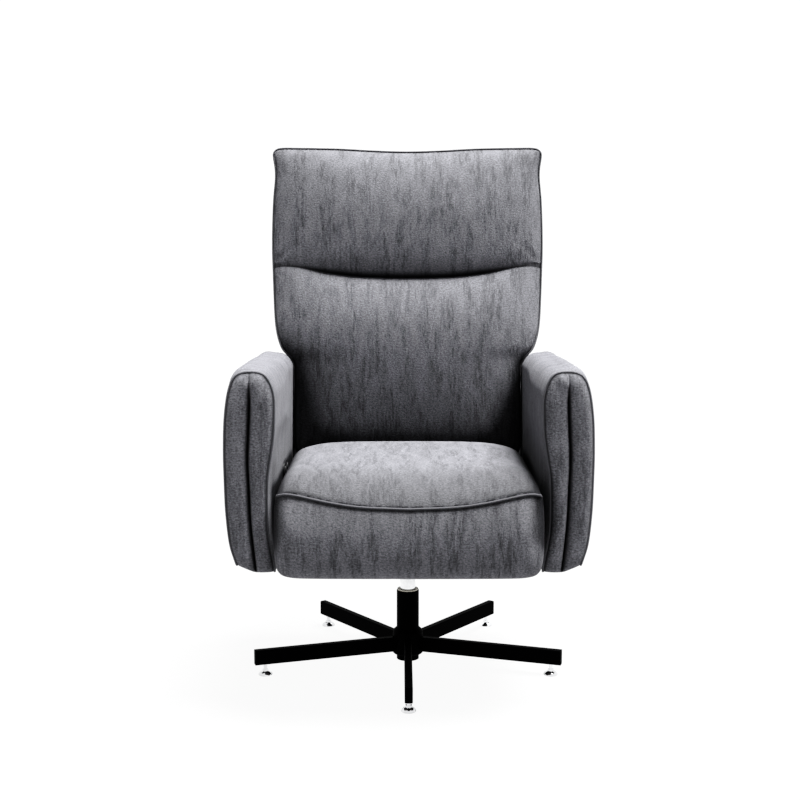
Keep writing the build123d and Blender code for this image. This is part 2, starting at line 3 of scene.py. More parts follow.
import bmesh
import bpy
import numpy as np
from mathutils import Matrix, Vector


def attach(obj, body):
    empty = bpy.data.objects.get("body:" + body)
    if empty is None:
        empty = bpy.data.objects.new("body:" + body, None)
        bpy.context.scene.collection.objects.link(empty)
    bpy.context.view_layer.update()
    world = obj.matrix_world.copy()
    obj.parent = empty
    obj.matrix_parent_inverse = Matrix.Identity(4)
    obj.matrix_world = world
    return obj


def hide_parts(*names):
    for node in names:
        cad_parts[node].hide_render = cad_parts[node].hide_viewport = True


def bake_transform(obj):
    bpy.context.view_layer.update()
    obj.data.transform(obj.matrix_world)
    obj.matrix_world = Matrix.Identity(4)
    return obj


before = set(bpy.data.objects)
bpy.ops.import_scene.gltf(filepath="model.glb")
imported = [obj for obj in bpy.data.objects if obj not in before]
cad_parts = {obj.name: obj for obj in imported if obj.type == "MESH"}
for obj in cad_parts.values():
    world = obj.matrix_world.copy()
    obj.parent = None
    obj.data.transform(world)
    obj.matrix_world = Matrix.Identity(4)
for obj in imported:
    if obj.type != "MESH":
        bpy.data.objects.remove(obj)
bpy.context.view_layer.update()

# ======================================================================================
# Camera: level chair seen from the front, a little above
# ======================================================================================

scene = bpy.context.scene
scene.view_settings.view_transform = "Standard"
scene.view_settings.look = "None"
scene.view_settings.use_curve_mapping = True
tone = scene.view_settings.curve_mapping
for x, y in ((0.03, 0.012), (0.08, 0.050), (0.18, 0.168), (0.45, 0.455)):  # a studio picture's deeper shadows
    tone.curves[3].points.new(x, y)
tone.update()
cam_data = bpy.data.cameras.new("Camera")
cam_data.sensor_width = 36.0
cam_data.lens = 62.168
camera = bpy.data.objects.new("Camera", cam_data)
camera.location = (-0.0172064, -2.947028, 0.970762)
camera.rotation_euler = (radians(90 - 7.58257), 0, 0)
scene.collection.objects.link(camera)
scene.camera = camera

# ======================================================================================
# Shape helpers, in millimetres
# ======================================================================================


def spline(points, per=24):
    """A smooth line through the points (centripetal)."""
    p = np.array(points, float)
    e = np.vstack([2 * p[0] - p[1], p, 2 * p[-1] - p[-2]])
    out = []
    for i in range(1, len(e) - 2):
        p0, p1, p2, p3 = e[i - 1 : i + 3]
        t0 = 0.0
        t1 = t0 + max(np.linalg.norm(p1 - p0), 1e-6) ** 0.5
        t2 = t1 + max(np.linalg.norm(p2 - p1), 1e-6) ** 0.5
        t3 = t2 + max(np.linalg.norm(p3 - p2), 1e-6) ** 0.5
        t = np.linspace(t1, t2, per, endpoint=False)[:, None]
        a1 = (t1 - t) / (t1 - t0) * p0 + (t - t0) / (t1 - t0) * p1
        a2 = (t2 - t) / (t2 - t1) * p1 + (t - t1) / (t2 - t1) * p2
        a3 = (t3 - t) / (t3 - t2) * p2 + (t - t2) / (t3 - t2) * p3
        b1 = (t2 - t) / (t2 - t0) * a1 + (t - t0) / (t2 - t0) * a2
        b2 = (t3 - t) / (t3 - t1) * a2 + (t - t1) / (t3 - t1) * a3
        out.append((t2 - t) / (t2 - t1) * b1 + (t - t1) / (t2 - t1) * b2)
    out.append(p[-1:])
    return np.vstack(out)


def lengths(p):
    return np.r_[0, np.cumsum(np.linalg.norm(np.diff(p, axis=0), axis=1))]


def at(p, f):
    """The points of line p at the fractions f of its length."""
    d = lengths(p)
    s = np.asarray(f, float) * d[-1]
    return np.stack([np.interp(s, d, p[:, k]) for k in range(p.shape[1])], 1)


def even(p, n):
    return at(p, np.linspace(0, 1, n))


def step(a, b, x):
    t = np.clip((np.asarray(x, float) - a) / (b - a), 0, 1)
    return t * t * (3 - 2 * t)


def roll(q, power=2.2, rise=0.55):
    """How far a panel has risen at q, its distance from its edge over the rolling width."""
    q = np.clip(q, 0, 1)
    return (1 - (1 - q) ** power) ** rise


def spread(n, edge=0.45):
    """n places from -1 to 1, closer together at both ends."""
    k = np.linspace(-1, 1, n)
    return edge * k + (1 - edge) * np.sin(k * pi / 2)


def coons(bottom, top, left, right, s, t):
    """The patch between four edge lines, at the places s and t that its edges are sampled at. Rows run along t."""
    s = s[None, :, None]
    t = t[:, None, None]
    b, u, l, r = bottom[None], top[None], left[:, None], right[:, None]
    return (
        (1 - t) * b + t * u + (1 - s) * l + s * r
        - (1 - s) * (1 - t) * bottom[0] - s * (1 - t) * bottom[-1]
        - (1 - s) * t * top[0] - s * t * top[-1]
    )


class Cloth:
    """Collects grids of points into one sewn mesh with a map in metres and two painted shade values: dark lines along
    seams, creases and edges, and broad shade where parts shade each other.
    """

    def __init__(self, name):
        self.name = name
        self.v, self.f, self.uv, self.seam, self.painted_shade = [], [], [], [], []
        self.n = 0

    def grid(self, p, u=None, v=None, seam=None, turn=False, u0=0.0, v0=0.0, painted_shade=None):
        p = np.asarray(p, float)
        m, n = p.shape[:2]
        du = np.linalg.norm(np.diff(p, axis=1), axis=2)
        dv = np.linalg.norm(np.diff(p, axis=0), axis=2)
        if u is None:
            u = np.concatenate([np.zeros((m, 1)), np.cumsum(du, 1)], 1)
            u = u - u[:, n // 2 : n // 2 + 1]
        if v is None:
            v = np.concatenate([np.zeros((1, n)), np.cumsum(dv, 0)], 0)
        if turn:
            u, v = v, u
        uv = np.stack([u + u0, v + v0], 2).reshape(-1, 2) * 0.001
        i = np.arange(m * n).reshape(m, n) + self.n
        a, b, c, d = i[:-1, :-1], i[:-1, 1:], i[1:, 1:], i[1:, :-1]
        self.f.append(np.stack([a, b, c, d], 2).reshape(-1, 4))
        self.v.append(p.reshape(-1, 3))
        self.uv.append(uv)
        s = np.zeros((m, n)) if seam is None else np.broadcast_to(seam, (m, n))
        self.seam.append(s.reshape(-1))
        b = np.zeros((m, n)) if painted_shade is None else np.broadcast_to(painted_shade, (m, n))
        self.painted_shade.append(b.reshape(-1))
        self.n += m * n

    def build(self, smooth_levels=0):
        v = np.vstack(self.v) * 0.001
        f = np.vstack(self.f)
        uv = np.vstack(self.uv)
        seam = np.concatenate(self.seam)
        painted_shade = np.concatenate(self.painted_shade)
        me = bpy.data.meshes.new(self.name)
        bm = bmesh.new()
        layer = bm.loops.layers.uv.new("fab")
        # both vertex values are painted shade: the first paints dark lines along seams, creases and edges, the second
        # broad shade where parts shade each other
        shade = bm.verts.layers.float.new("seam")
        painted_shade_layer = bm.verts.layers.float.new("painted_shade")
        made = [bm.verts.new(c) for c in v]
        for x, s, b in zip(made, seam, painted_shade):
            x[shade] = s
            x[painted_shade_layer] = b
        for q in f:
            k = []
            for j in q:
                if not k or (v[j] != v[k[-1]]).any():
                    k.append(j)
            if len(k) > 2 and (v[k[0]] == v[k[-1]]).all():
                k.pop()
            if len(k) < 3:
                continue
            face = bm.faces.new([made[j] for j in k])
            face.smooth = True
            for loop, j in zip(face.loops, k):
                loop[layer].uv = uv[j]
        bmesh.ops.remove_doubles(bm, verts=bm.verts[:], dist=0.00004)
        bmesh.ops.dissolve_degenerate(bm, edges=bm.edges[:], dist=0.00002)
        bmesh.ops.recalc_face_normals(bm, faces=bm.faces[:])
        bm.to_mesh(me)
        bm.free()
        ob = bpy.data.objects.new(self.name, me)
        scene.collection.objects.link(ob)
        return ob


def tube(name, path, radius, sides=12, closed=False, squash=1.0):
    """A soft round cord sewn along path, a row of points in millimetres."""
    p = np.asarray(path, float)
    n = len(p)
    if closed:
        tan = np.roll(p, -1, 0) - np.roll(p, 1, 0)
    else:
        tan = np.gradient(p, axis=0)
    tan /= np.linalg.norm(tan, axis=1)[:, None]
    ref = np.array([0.3, 1.0, 0.2])
    nrm = ref - tan[0] * (ref @ tan[0])
    nrm /= np.linalg.norm(nrm)
    rows = []
    for k in range(n):
        nrm = nrm - tan[k] * (nrm @ tan[k])
        nrm /= np.linalg.norm(nrm)
        bi = np.cross(tan[k], nrm)
        a = np.linspace(0, 2 * pi, sides, endpoint=False)
        rows.append(p[k] + radius * (np.cos(a)[:, None] * nrm * squash + np.sin(a)[:, None] * bi))
    if not closed:  # rounded ends
        first, last = [], []
        for f, g in ((0.86, 0.5), (0.5, 0.86)):
            first.insert(0, p[0] - tan[0] * radius * g + (rows[0] - p[0]) * f)
            last.append(p[-1] + tan[-1] * radius * g + (rows[-1] - p[-1]) * f)
        rows = first + rows + last
    g = np.array(rows)
    c = Cloth(name)
    wrap = np.concatenate([g, g[:, :1]], 1)
    if closed:
        wrap = np.concatenate([wrap, wrap[:1]], 0)
    c.grid(wrap)
    if not closed:
        for ring, tip in ((g[0], p[0] - tan[0] * radius), (g[-1], p[-1] + tan[-1] * radius)):
            w = np.concatenate([ring, ring[:1]])
            c.grid(np.stack([w, np.repeat(tip[None], len(w), 0)]))
    return c.build()


# ======================================================================================
# Materials
# ======================================================================================


class Nodes:
    def __init__(self, name):
        self.mat = bpy.data.materials.new(name)
        self.mat.use_nodes = True
        self.t = self.mat.node_tree
        self.t.nodes.clear()
        self.out = self.t.nodes.new("ShaderNodeOutputMaterial")
        self.bsdf = self.t.nodes.new("ShaderNodeBsdfPrincipled")
        self.t.links.new(self.bsdf.outputs[0], self.out.inputs[0])

    def set(self, **k):
        for name, v in k.items():
            self.bsdf.inputs[name.replace("_", " ")].default_value = v

    def link(self, a, b):
        self.t.links.new(a, b)

    def feed(self, node, socket, v):
        if v is None:
            return
        s = node.inputs[socket]
        if hasattr(v, "is_linked") or hasattr(v, "links"):
            self.link(v, s)
        else:
            s.default_value = v

    def uv(self):
        n = self.t.nodes.new("ShaderNodeUVMap")
        n.uv_map = "fab"
        return n.outputs[0]

    def place(self):
        return self.t.nodes.new("ShaderNodeTexCoord").outputs["Object"]

    def scaled(self, vector, scale, turn=(0, 0, 0)):
        n = self.t.nodes.new("ShaderNodeMapping")
        self.link(vector, n.inputs[0])
        n.inputs["Scale"].default_value = scale
        n.inputs["Rotation"].default_value = turn
        return n.outputs[0]

    def noise(self, vector, scale=1.0, detail=3.0, rough=0.55, distort=0.0):
        n = self.t.nodes.new("ShaderNodeTexNoise")
        self.link(vector, n.inputs["Vector"])
        n.inputs["Scale"].default_value = scale
        n.inputs["Detail"].default_value = detail
        n.inputs["Roughness"].default_value = rough
        n.inputs["Distortion"].default_value = distort
        return n.outputs["Fac"]

    def cells(self, vector, scale=1.0, feature="F1"):
        n = self.t.nodes.new("ShaderNodeTexVoronoi")
        n.feature = feature
        self.link(vector, n.inputs["Vector"])
        n.inputs["Scale"].default_value = scale
        return n.outputs["Distance"]

    def wave(self, vector, scale, axis="X", distort=0.0, profile="SIN"):
        n = self.t.nodes.new("ShaderNodeTexWave")
        n.bands_direction = axis
        n.wave_profile = profile
        self.link(vector, n.inputs["Vector"])
        n.inputs["Scale"].default_value = scale
        n.inputs["Distortion"].default_value = distort
        return n.outputs["Fac"]

    def fit(self, v, a, b, c, d, smooth=True):
        n = self.t.nodes.new("ShaderNodeMapRange")
        n.interpolation_type = "SMOOTHSTEP" if smooth else "LINEAR"
        self.link(v, n.inputs["Value"])
        for s, x in zip(("From Min", "From Max", "To Min", "To Max"), (a, b, c, d)):
            n.inputs[s].default_value = x
        return n.outputs[0]

    def math(self, op, a, b):
        n = self.t.nodes.new("ShaderNodeMath")
        n.operation = op
        self.feed(n, 0, a)
        self.feed(n, 1, b)
        return n.outputs[0]

    def attribute(self, name):
        n = self.t.nodes.new("ShaderNodeAttribute")
        n.attribute_name = name
        return n.outputs["Fac"]

    def mix(self, f, a, b, kind="MIX"):
        n = self.t.nodes.new("ShaderNodeMix")
        n.data_type = "RGBA"
        n.blend_type = kind
        self.feed(n, 0, f)
        self.feed(n, 6, a)
        self.feed(n, 7, b)
        return n.outputs[2]

    def grey(self, v):
        n = self.t.nodes.new("ShaderNodeCombineColor")
        for k in range(3):
            self.link(v, n.inputs[k])
        return n.outputs[0]

    def bump(self, height, strength, distance, normal=None):
        n = self.t.nodes.new("ShaderNodeBump")
        self.link(height, n.inputs["Height"])
        n.inputs["Strength"].default_value = strength
        n.inputs["Distance"].default_value = distance
        if normal is not None:
            self.link(normal, n.inputs["Normal"])
        return n.outputs[0]

    def colour(self, v):
        self.link(v, self.bsdf.inputs["Base Color"])

    def rough(self, v):
        self.link(v, self.bsdf.inputs["Roughness"])

    def normal(self, v):
        self.link(v, self.bsdf.inputs["Normal"])


def fabric(name, light, dark, streaks=1.0, shade=0.85):
    """Brushed microfibre: upright dark smudges in clusters, soft clouds, fine pebble grain and a faint sheen, darkened
    further by the mesh's painted shade values.
    """
    m = Nodes(name)
    uv = m.uv()
    column = m.noise(m.scaled(uv, (34, 7.5, 1)), 1.0, 3.0, 0.55, 0.4)
    smudge = m.noise(m.scaled(uv, (125, 21, 1)), 1.0, 6.0, 0.74, 0.4)
    thin = m.noise(m.scaled(uv, (330, 60, 1)), 1.0, 3.0, 0.65, 0.4)
    cloud = m.noise(m.scaled(uv, (46, 20, 1)), 1.0, 3.0, 0.6)
    mask = m.fit(column, 0.40, 0.60, 0.14, 1.0)
    rag = m.math("MULTIPLY", m.fit(smudge, 0.41, 0.59, 0.10, 1.0), m.fit(thin, 0.30, 0.66, 0.35, 1.0))
    streak = m.math("MULTIPLY", mask, rag)
    grain = m.noise(m.scaled(uv, (210, 310, 1)), 1.0, 3.0, 0.75, 0.3)
    pebble = m.cells(m.scaled(uv, (400, 400, 1)), 1.0)
    colour = m.mix(m.math("MULTIPLY", streak, 0.88 * streaks), light, dark)
    colour = m.mix(1.0, colour, m.grey(m.fit(cloud, 0.25, 0.75, 0.80, 1.20, False)), "MULTIPLY")
    colour = m.mix(1.0, colour, m.grey(m.fit(grain, 0.25, 0.75, 0.28, 1.72, False)), "MULTIPLY")
    # painted shade: one vertex value darkens the colour where parts shade each other, the other mixes it towards near
    # black along seams, creases and edges
    colour = m.mix(1.0, colour, m.grey(m.fit(m.attribute("painted_shade"), 0.0, 1.5, 1.0, 0.025, False)), "MULTIPLY")
    colour = m.mix(m.math("MULTIPLY", m.attribute("seam"), shade), colour, (0.004, 0.004, 0.0045, 1))
    m.colour(colour)
    m.rough(m.fit(grain, 0.2, 0.8, 0.72, 0.95, False))
    height = m.math("ADD", m.math("MULTIPLY", pebble, 0.8), grain)
    height = m.math("SUBTRACT", height, m.math("MULTIPLY", streak, 0.3))
    m.normal(m.bump(height, 0.5, 0.0009))
    m.set(Sheen_Roughness=0.5, Sheen_Tint=(0.95, 0.95, 1.0, 1))
    # where shade is painted the gloss and sheen are taken away too, a painted loss of reflection in shaded places
    shaded_places = m.math("MAXIMUM", m.attribute("painted_shade"), m.math("MULTIPLY", m.attribute("seam"), 1.2))
    m.link(m.fit(shaded_places, 0.75, 1.2, 0.22, 0.02, False), m.bsdf.inputs["Specular IOR Level"])
    m.link(m.fit(shaded_places, 0.75, 1.2, 0.05, 0.0, False), m.bsdf.inputs["Sheen Weight"])
    return m.mat


# one fabric in three copies, each set for how the light falls on its part: the seat's and arms' copies are painted a
# little darker than the back's, and carry fewer streaks
cover_mat = fabric("brushed_microfibre", (0.117, 0.117, 0.1275, 1), (0.033, 0.033, 0.0365, 1))
seat_mat = fabric("brushed_microfibre_seat", (0.103, 0.103, 0.1115, 1), (0.036, 0.036, 0.0400, 1), 0.9)
arm_mat = fabric("brushed_microfibre_arms", (0.112, 0.112, 0.1220, 1), (0.036, 0.036, 0.0395, 1), 0.8)


def cord_fabric(name, colour, deep):
    m = Nodes(name)
    uv = m.uv()
    twill = m.wave(m.scaled(uv, (1, 1, 1), (0, 0, 0.7)), 140, "Y", 1.0)
    grain = m.noise(m.scaled(uv, (700, 500, 1)), 1.0, 2.0, 0.6)
    m.colour(m.mix(m.math("MULTIPLY", twill, grain), deep, colour))
    m.rough(m.fit(grain, 0.2, 0.8, 0.7, 0.92, False))
    m.normal(m.bump(m.math("ADD", m.math("MULTIPLY", twill, 0.6), grain), 0.35, 0.0005))
    m.set(Sheen_Weight=0.05, Sheen_Roughness=0.5, Specular_IOR_Level=0.25)
    return m.mat


# one cord in three copies: the arms' copy is painted lighter than the arm fabric, a painted highlight for the lit band
# between its dark lines; the back's and seat's copies are darker
welt_mat = cord_fabric("dark_welt_cord", (0.095, 0.095, 0.103, 1), (0.036, 0.036, 0.040, 1))
seam_mat = cord_fabric("seam_welt_cord", (0.090, 0.090, 0.098, 1), (0.038, 0.038, 0.042, 1))
arm_welt_mat = cord_fabric("arm_welt_cord", (0.150, 0.150, 0.163, 1), (0.070, 0.070, 0.076, 1))


def metal(name, colour, rough, metallic, vary, scale, bump, stretch=(1, 1, 1), coat=0.0, spec=0.5):
    """A painted, plated or bare metal with fine texture, faint marks and duller rubbed patches."""
    m = Nodes(name)
    at_ = m.place()
    fine = m.noise(m.scaled(at_, stretch), scale, 4.0, 0.6)
    broad = m.noise(at_, 22.0, 3.0, 0.6)
    mark = m.noise(m.scaled(at_, (40, 40, 260)), 3.0, 2.0, 0.5)
    both = m.math("ADD", m.math("MULTIPLY", fine, 0.6), m.math("MULTIPLY", broad, 0.4))
    m.rough(m.fit(both, 0.25, 0.75, max(0.02, rough - vary), rough + vary, False))
    low = tuple(c * 0.72 for c in colour[:3]) + (1,)
    c = m.mix(m.fit(broad, 0.3, 0.7, 0.0, 1.0), low, colour)
    high = tuple(min(1.0, x * 1.2 + 0.0008) for x in colour[:3]) + (1,)
    m.colour(m.mix(m.fit(mark, 0.62, 0.78, 0.0, 0.6), c, high))
    m.normal(m.bump(fine, bump, 0.0004))
    m.set(Metallic=metallic, Coat_Weight=coat, Coat_Roughness=0.25, Specular_IOR_Level=spec)
    return m.mat


black_paint = metal("satin_black_powder_coat", (0.0006, 0.0006, 0.0007, 1), 0.42, 0.0, 0.10, 900, 0.22, spec=0.010)
leg_end = metal("black_leg_end", (0.0009, 0.0009, 0.0010, 1), 0.6, 0.0, 0.10, 1400, 0.3, spec=0.015)
chrome = metal("polished_chrome", (0.94, 0.945, 0.955, 1), 0.07, 1.0, 0.04, 300, 0.02)
steel = metal("zinc_plated_steel", (0.52, 0.53, 0.55, 1), 0.34, 1.0, 0.12, 500, 0.12, (1, 1, 9))
plastic = metal("moulded_black_plastic", (0.009, 0.009, 0.010, 1), 0.55, 0.0, 0.10, 1600, 0.4, spec=0.2)
button_mat = metal("button_plastic", (0.016, 0.016, 0.017, 1), 0.6, 0.0, 0.08, 1500, 0.25, spec=0.2)
nylon = metal("ivory_nylon", (0.58, 0.55, 0.47, 1), 0.46, 0.0, 0.10, 700, 0.15)


def plywood_material():
    m = Nodes("birch_plywood")
    p = m.place()
    ply = m.wave(p, 105, "X", 0.6)
    grain = m.noise(m.scaled(p, (70, 70, 9)), 3.0, 5.0, 0.65, 0.6)
    pore = m.noise(m.scaled(p, (600, 600, 60)), 1.0, 2.0, 0.5)
    c = m.mix(m.fit(grain, 0.3, 0.7, 0, 1), (0.47, 0.31, 0.165, 1), (0.64, 0.465, 0.285, 1))
    c = m.mix(m.fit(ply, 0.35, 0.65, 0.0, 0.35), c, (0.33, 0.205, 0.10, 1))
    c = m.mix(m.fit(pore, 0.6, 0.75, 0, 0.4), c, (0.22, 0.13, 0.06, 1))
    m.colour(c)
    m.rough(m.fit(grain, 0.3, 0.7, 0.55, 0.75, False))
    m.normal(m.bump(m.math("ADD", grain, pore), 0.25, 0.0005))
    return m.mat


plywood = plywood_material()


def strap_material():
    m = Nodes("elastic_webbing")
    p = m.place()
    warp = m.wave(p, 190, "X")
    weft = m.wave(p, 150, "Y")
    stripe = m.wave(p, 22, "X")
    fuzz = m.noise(p, 900, 2.0)
    w = m.math("MULTIPLY", warp, weft)
    c = m.mix(m.fit(stripe, 0.72, 0.8, 0, 1), (0.055, 0.054, 0.05, 1), (0.16, 0.15, 0.13, 1))
    m.colour(m.mix(w, c, (0.10, 0.098, 0.09, 1)))
    m.rough(m.fit(fuzz, 0.2, 0.8, 0.75, 0.95, False))
    m.normal(m.bump(m.math("ADD", w, m.math("MULTIPLY", fuzz, 0.3)), 0.5, 0.0008))
    return m.mat


webbing = strap_material()


def lining_material():
    m = Nodes("nonwoven_lining")
    uv = m.uv()
    fibre = m.noise(m.scaled(uv, (260, 900, 1)), 1.0, 4.0, 0.7, 1.4)
    dots = m.cells(m.scaled(uv, (330, 330, 1)), 1.0)
    cloud = m.noise(m.scaled(uv, (30, 30, 1)), 1.0, 3.0)
    c = m.mix(m.fit(fibre, 0.35, 0.7, 0, 1), (0.010, 0.010, 0.011, 1), (0.032, 0.032, 0.034, 1))
    # painted shade: the vertex value darkens the lining towards its edges and round the hole
    c = m.mix(m.math("MULTIPLY", m.attribute("seam"), 0.6), c, (0.004, 0.004, 0.004, 1))
    m.colour(m.mix(m.fit(cloud, 0.3, 0.7, 0, 0.35), c, (0.02, 0.02, 0.021, 1)))
    m.rough(m.fit(fibre, 0.2, 0.8, 0.8, 0.97, False))
    m.normal(m.bump(m.math("SUBTRACT", fibre, m.math("MULTIPLY", dots, 0.5)), 0.4, 0.0005))
    return m.mat


lining = lining_material()

FINISH = {
    black_paint: "hub_sleeve base_legs seat_rails cross_tubes bearers recline_brackets footrest_brackets slide_guides "
    "back_levers footrest_arms drive_bars drive_cross_bar swivel_plate head_hinge_arms head_hinge_lowers actuator_mount arm_spacers".split(),
    leg_end: ["leg_end_caps"],
    chrome: [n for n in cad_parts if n.startswith("glide_") and n != "glide_nuts"] + ["swivel_post", "actuator_rod"],
    steel: "glide_nuts retaining_bolt plate_bolts recline_pins footrest_pins drive_pins head_hinge_pins arm_bolts thrust_bearing hub_floor".split(),
    plywood: "arm_frame_left arm_frame_right back_frame head_board footrest_board".split(),
    nylon: ["bush_upper", "bush_lower"],
    plastic: ["actuator_motor", "actuator_tube", "control_panel"],
    button_mat: ["button_recline", "button_upright"],
    webbing: ["seat_webbing", "back_webbing"],
}
for mat, names in FINISH.items():
    for n in names:
        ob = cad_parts.get(n)
        if ob is None:
            raise SystemExit("no node " + n)
        for k in range(len(ob.material_slots)):
            ob.material_slots[k].material = mat


def dress(ob, mat):
    ob.data.materials.clear()
    ob.data.materials.append(mat)
    return ob


def settle(ob, force, cap, keep=1.0, firm=None):
    """Lets the filling press the cover out, with its seams held, and applies the result.
    firm(points) gives the share of the movement that a neighbour holds back."""
    me = ob.data
    n = len(me.vertices)
    start = np.empty(n * 3)
    me.vertices.foreach_get("co", start)
    start = start.reshape(-1, 3)
    held = np.empty(n)
    me.attributes["seam"].data.foreach_get("value", held)
    group = ob.vertex_groups.new(name="held")
    for i, w in enumerate(np.clip(held * 1.6, 0.04, 1.0)):
        group.add([i], float(w), "REPLACE")
    mod = ob.modifiers.new("filling", "CLOTH")
    c = mod.settings
    c.quality = 6
    c.mass = 0.35
    c.tension_stiffness = c.compression_stiffness = 18.0
    c.shear_stiffness = 8.0
    c.bending_stiffness = 1.5
    c.use_pressure = True
    c.uniform_pressure_force = force
    c.vertex_group_mass = "held"
    c.effector_weights.gravity = 0.0
    mod.collision_settings.use_collision = False
    mod.point_cache.frame_start, mod.point_cache.frame_end = 1, 20
    for k in range(1, 21):
        scene.frame_set(k)
    done = ob.evaluated_get(bpy.context.evaluated_depsgraph_get())
    end = np.empty(n * 3)
    done.data.vertices.foreach_get("co", end)
    move = end.reshape(-1, 3) - start
    size = np.linalg.norm(move, axis=1)
    move *= (np.minimum(size, cap) / np.maximum(size, 1e-9))[:, None] * keep
    if firm is not None:
        move *= (1 - firm(start))[:, None]
    ob.modifiers.remove(mod)
    ob.vertex_groups.clear()
    scene.frame_set(1)
    me.vertices.foreach_set("co", (start + move).reshape(-1))
    me.update()
    print("settled", ob.name, "moved by", round(float(size.mean()) * 1000, 2), "mm, most", round(float(size.max()) * 1000, 2))


# ======================================================================================
# Back and head: one cover with a deep crease, in the back's own leaning frame
# ======================================================================================

LEAN = radians(13.5)
SL, CL = sin(LEAN), cos(LEAN)


def from_back(p):
    """(x, y', z') of the leaning frame to the chair's frame."""
    p = np.asarray(p, float)
    x, y, z = p[..., 0], p[..., 1], p[..., 2]
    return np.stack([x, 195 + z * SL + y * CL, 405 + z * CL - y * SL], -1)


NS = 81
sx = spread(NS)
s01 = (sx + 1) / 2
PIPE = -22.0
DROP, TRIM = 8.5, 3.6  # the outline's place on the piping plane, inside its welt

low_profile = spline([
    (16, -49), (24, -56), (45, -62), (80, -66.5), (130, -72.8), (180, -78.5), (230, -83.5), (275, -87), (310, -88), (336, -87),
    (360, -83), (380, -77.5), (397, -70.5), (410, -62.5), (419, -53.5), (425, -43.5), (429, -32),
])
head_profile = spline([
    (429, -32), (428.5, -41), (430.5, -49), (436, -56.5), (446, -63), (459, -67.5), (476, -71.2), (500, -75), (524, -78),
    (552, -80.6), (585, -81.6), (615, -80), (642, -76.2), (666, -70), (685, -62.5), (699, -54.5), (709, -46.5), (718, -36),
    (724, -28), (736.3 - DROP, PIPE),
])
lowp = even(low_profile, 64)
headp = even(head_profile, 58)

crease = spline([(-314, 452), (-304, 452.8), (-270, 452.8), (-224, 448.1), (-155, 434.1), (-86, 423.7), (0, 420.2),
                 (86, 423.7), (155, 434.1), (224, 448.1), (270, 452.8), (304, 452.8), (314, 452)])
crease = at(crease, s01)
crease[:, 0] = np.interp(s01, np.linspace(0, 1, NS), crease[:, 0])
right_low = spline([(240, 16), (249, 24), (254, 42), (255.5, 80), (256, 120), (256.2, 200), (258, 236), (265, 250), (278, 260), (289, 272),
                    (297.5, 292), (304, 318), (308.5, 354), (311, 391), (313, 430), (314, 452)])
right_up = spline([(314, 452), (315.5, 486), (316, 543), (314.3, 620), (310.6, 676), (311.6, 698), (315.6, 724), (316.2, 733), (314.0, 739.6)])
top_line = spline([(-314.0, 739.6), (-308, 743.8), (-297, 745.6), (-260, 745.4), (-159, 743.0), (-80, 738.6), (0, 736.3),
                   (80, 738.6), (159, 743.0), (260, 745.4), (297, 745.6), (308, 743.8), (314.0, 739.6)])
right_low[:, 0] -= TRIM * step(252, 280, right_low[:, 0])
right_low[:, 1] -= 12.0 * step(60, 230, right_low[:, 1]) * (1 - step(330, 452, right_low[:, 1]))
right_up[:, 0] -= TRIM
right_up[:, 1] -= DROP * step(470, 739, right_up[:, 1])
top_line[:, 0] *= (314.0 - TRIM) / 314.0
top_line[:, 1] -= DROP
crease[:, 0] *= (314.0 - TRIM) / 314.0
top_line = at(top_line, s01)
bottom_line = np.stack([240 * sx, np.full(NS, 16.0)], 1)


def fraction(profile, low, high):
    """Where each row of a profile lies between its two edge lines, kept rising."""
    f = (profile[:, 0] - low) / (high - low)
    n = len(f)
    f = np.maximum.accumulate(np.clip(f, 0, 1))
    f = np.minimum(f, 1)
    return f + np.linspace(0, 1e-3, n) * (1 - f)


def mirrored(line):
    m = line.copy()
    m[:, 0] *= -1
    return m


def height_at(line, f):
    """The points of an edge line where it has risen by the fractions f."""
    z = line[:, 1]
    g = (z - z[0]) / (z[-1] - z[0])
    return np.stack([np.interp(f, g, line[:, 0]), np.interp(f, g, line[:, 1])], 1)


tl = fraction(lowp, 16, 429)
th = fraction(headp, 420, 736.3 - DROP)
# rows inside the crease sit a little apart at the sides, so that the fold runs out to the edge
tl = np.maximum.accumulate(np.r_[tl[0], tl[1:]])
tl = tl / tl[-1]
th0 = th.copy()
inner = np.argmin(headp[:, 0])
th[: inner + 1] = np.linspace(0, th[inner] + 0.012, inner + 1)
th = np.maximum.accumulate(th)
th = (th - th[0]) / (th[-1] - th[0])

RL = height_at(right_low, tl)
RU = at(right_up, th)
xz_low = coons(bottom_line, crease, mirrored(RL), RL, s01, tl)
xz_up = coons(crease, top_line, mirrored(RU), RU, s01, th)


def face(xz, prof, base_z, pipe, wide, near):
    """Raises a panel by its upright profile, rolling down to the piping at both sides.
    Rows near the crease (weight near) sink less towards the sides."""
    half = np.abs(xz[:, -1:, 0])
    q = np.clip(np.abs(xz[:, :, 0]) / half, 0, 1)
    r = (1 - q ** wide) ** 0.62
    deep = prof[:, 1][:, None]
    shallow = np.where(deep > -62, -62 + (deep + 62) * 0.42, deep)
    w = step(165, 270, np.abs(xz[:, :, 0])) * near[:, None]
    # between the arms the side edge stands further forward
    pipe = pipe - 31.0 * (1 - step(180, 385, xz[:, :, 1]))
    pipe = np.maximum(pipe, deep + 3)
    y = pipe + (deep * (1 - w) + shallow * w - pipe) * r
    z = xz[:, :, 1] + (prof[:, 0] - base_z)[:, None] * r
    return np.stack([xz[:, :, 0], y, z], 2)


front_low = face(xz_low, lowp, xz_low[:, NS // 2, 1], PIPE, 2.6, step(350, 400, lowp[:, 0]))
front_up = face(xz_up, headp, xz_up[:, NS // 2, 1], PIPE, 2.5, 1 - step(465, 500, headp[:, 0]))
front_low[0, :, 1] = np.minimum(front_low[0, :, 1], -30)

# both panels end on the same fold line
fold = (front_low[-1] + front_up[0]) / 2
front_low[-1] = fold
front_up[0] = fold

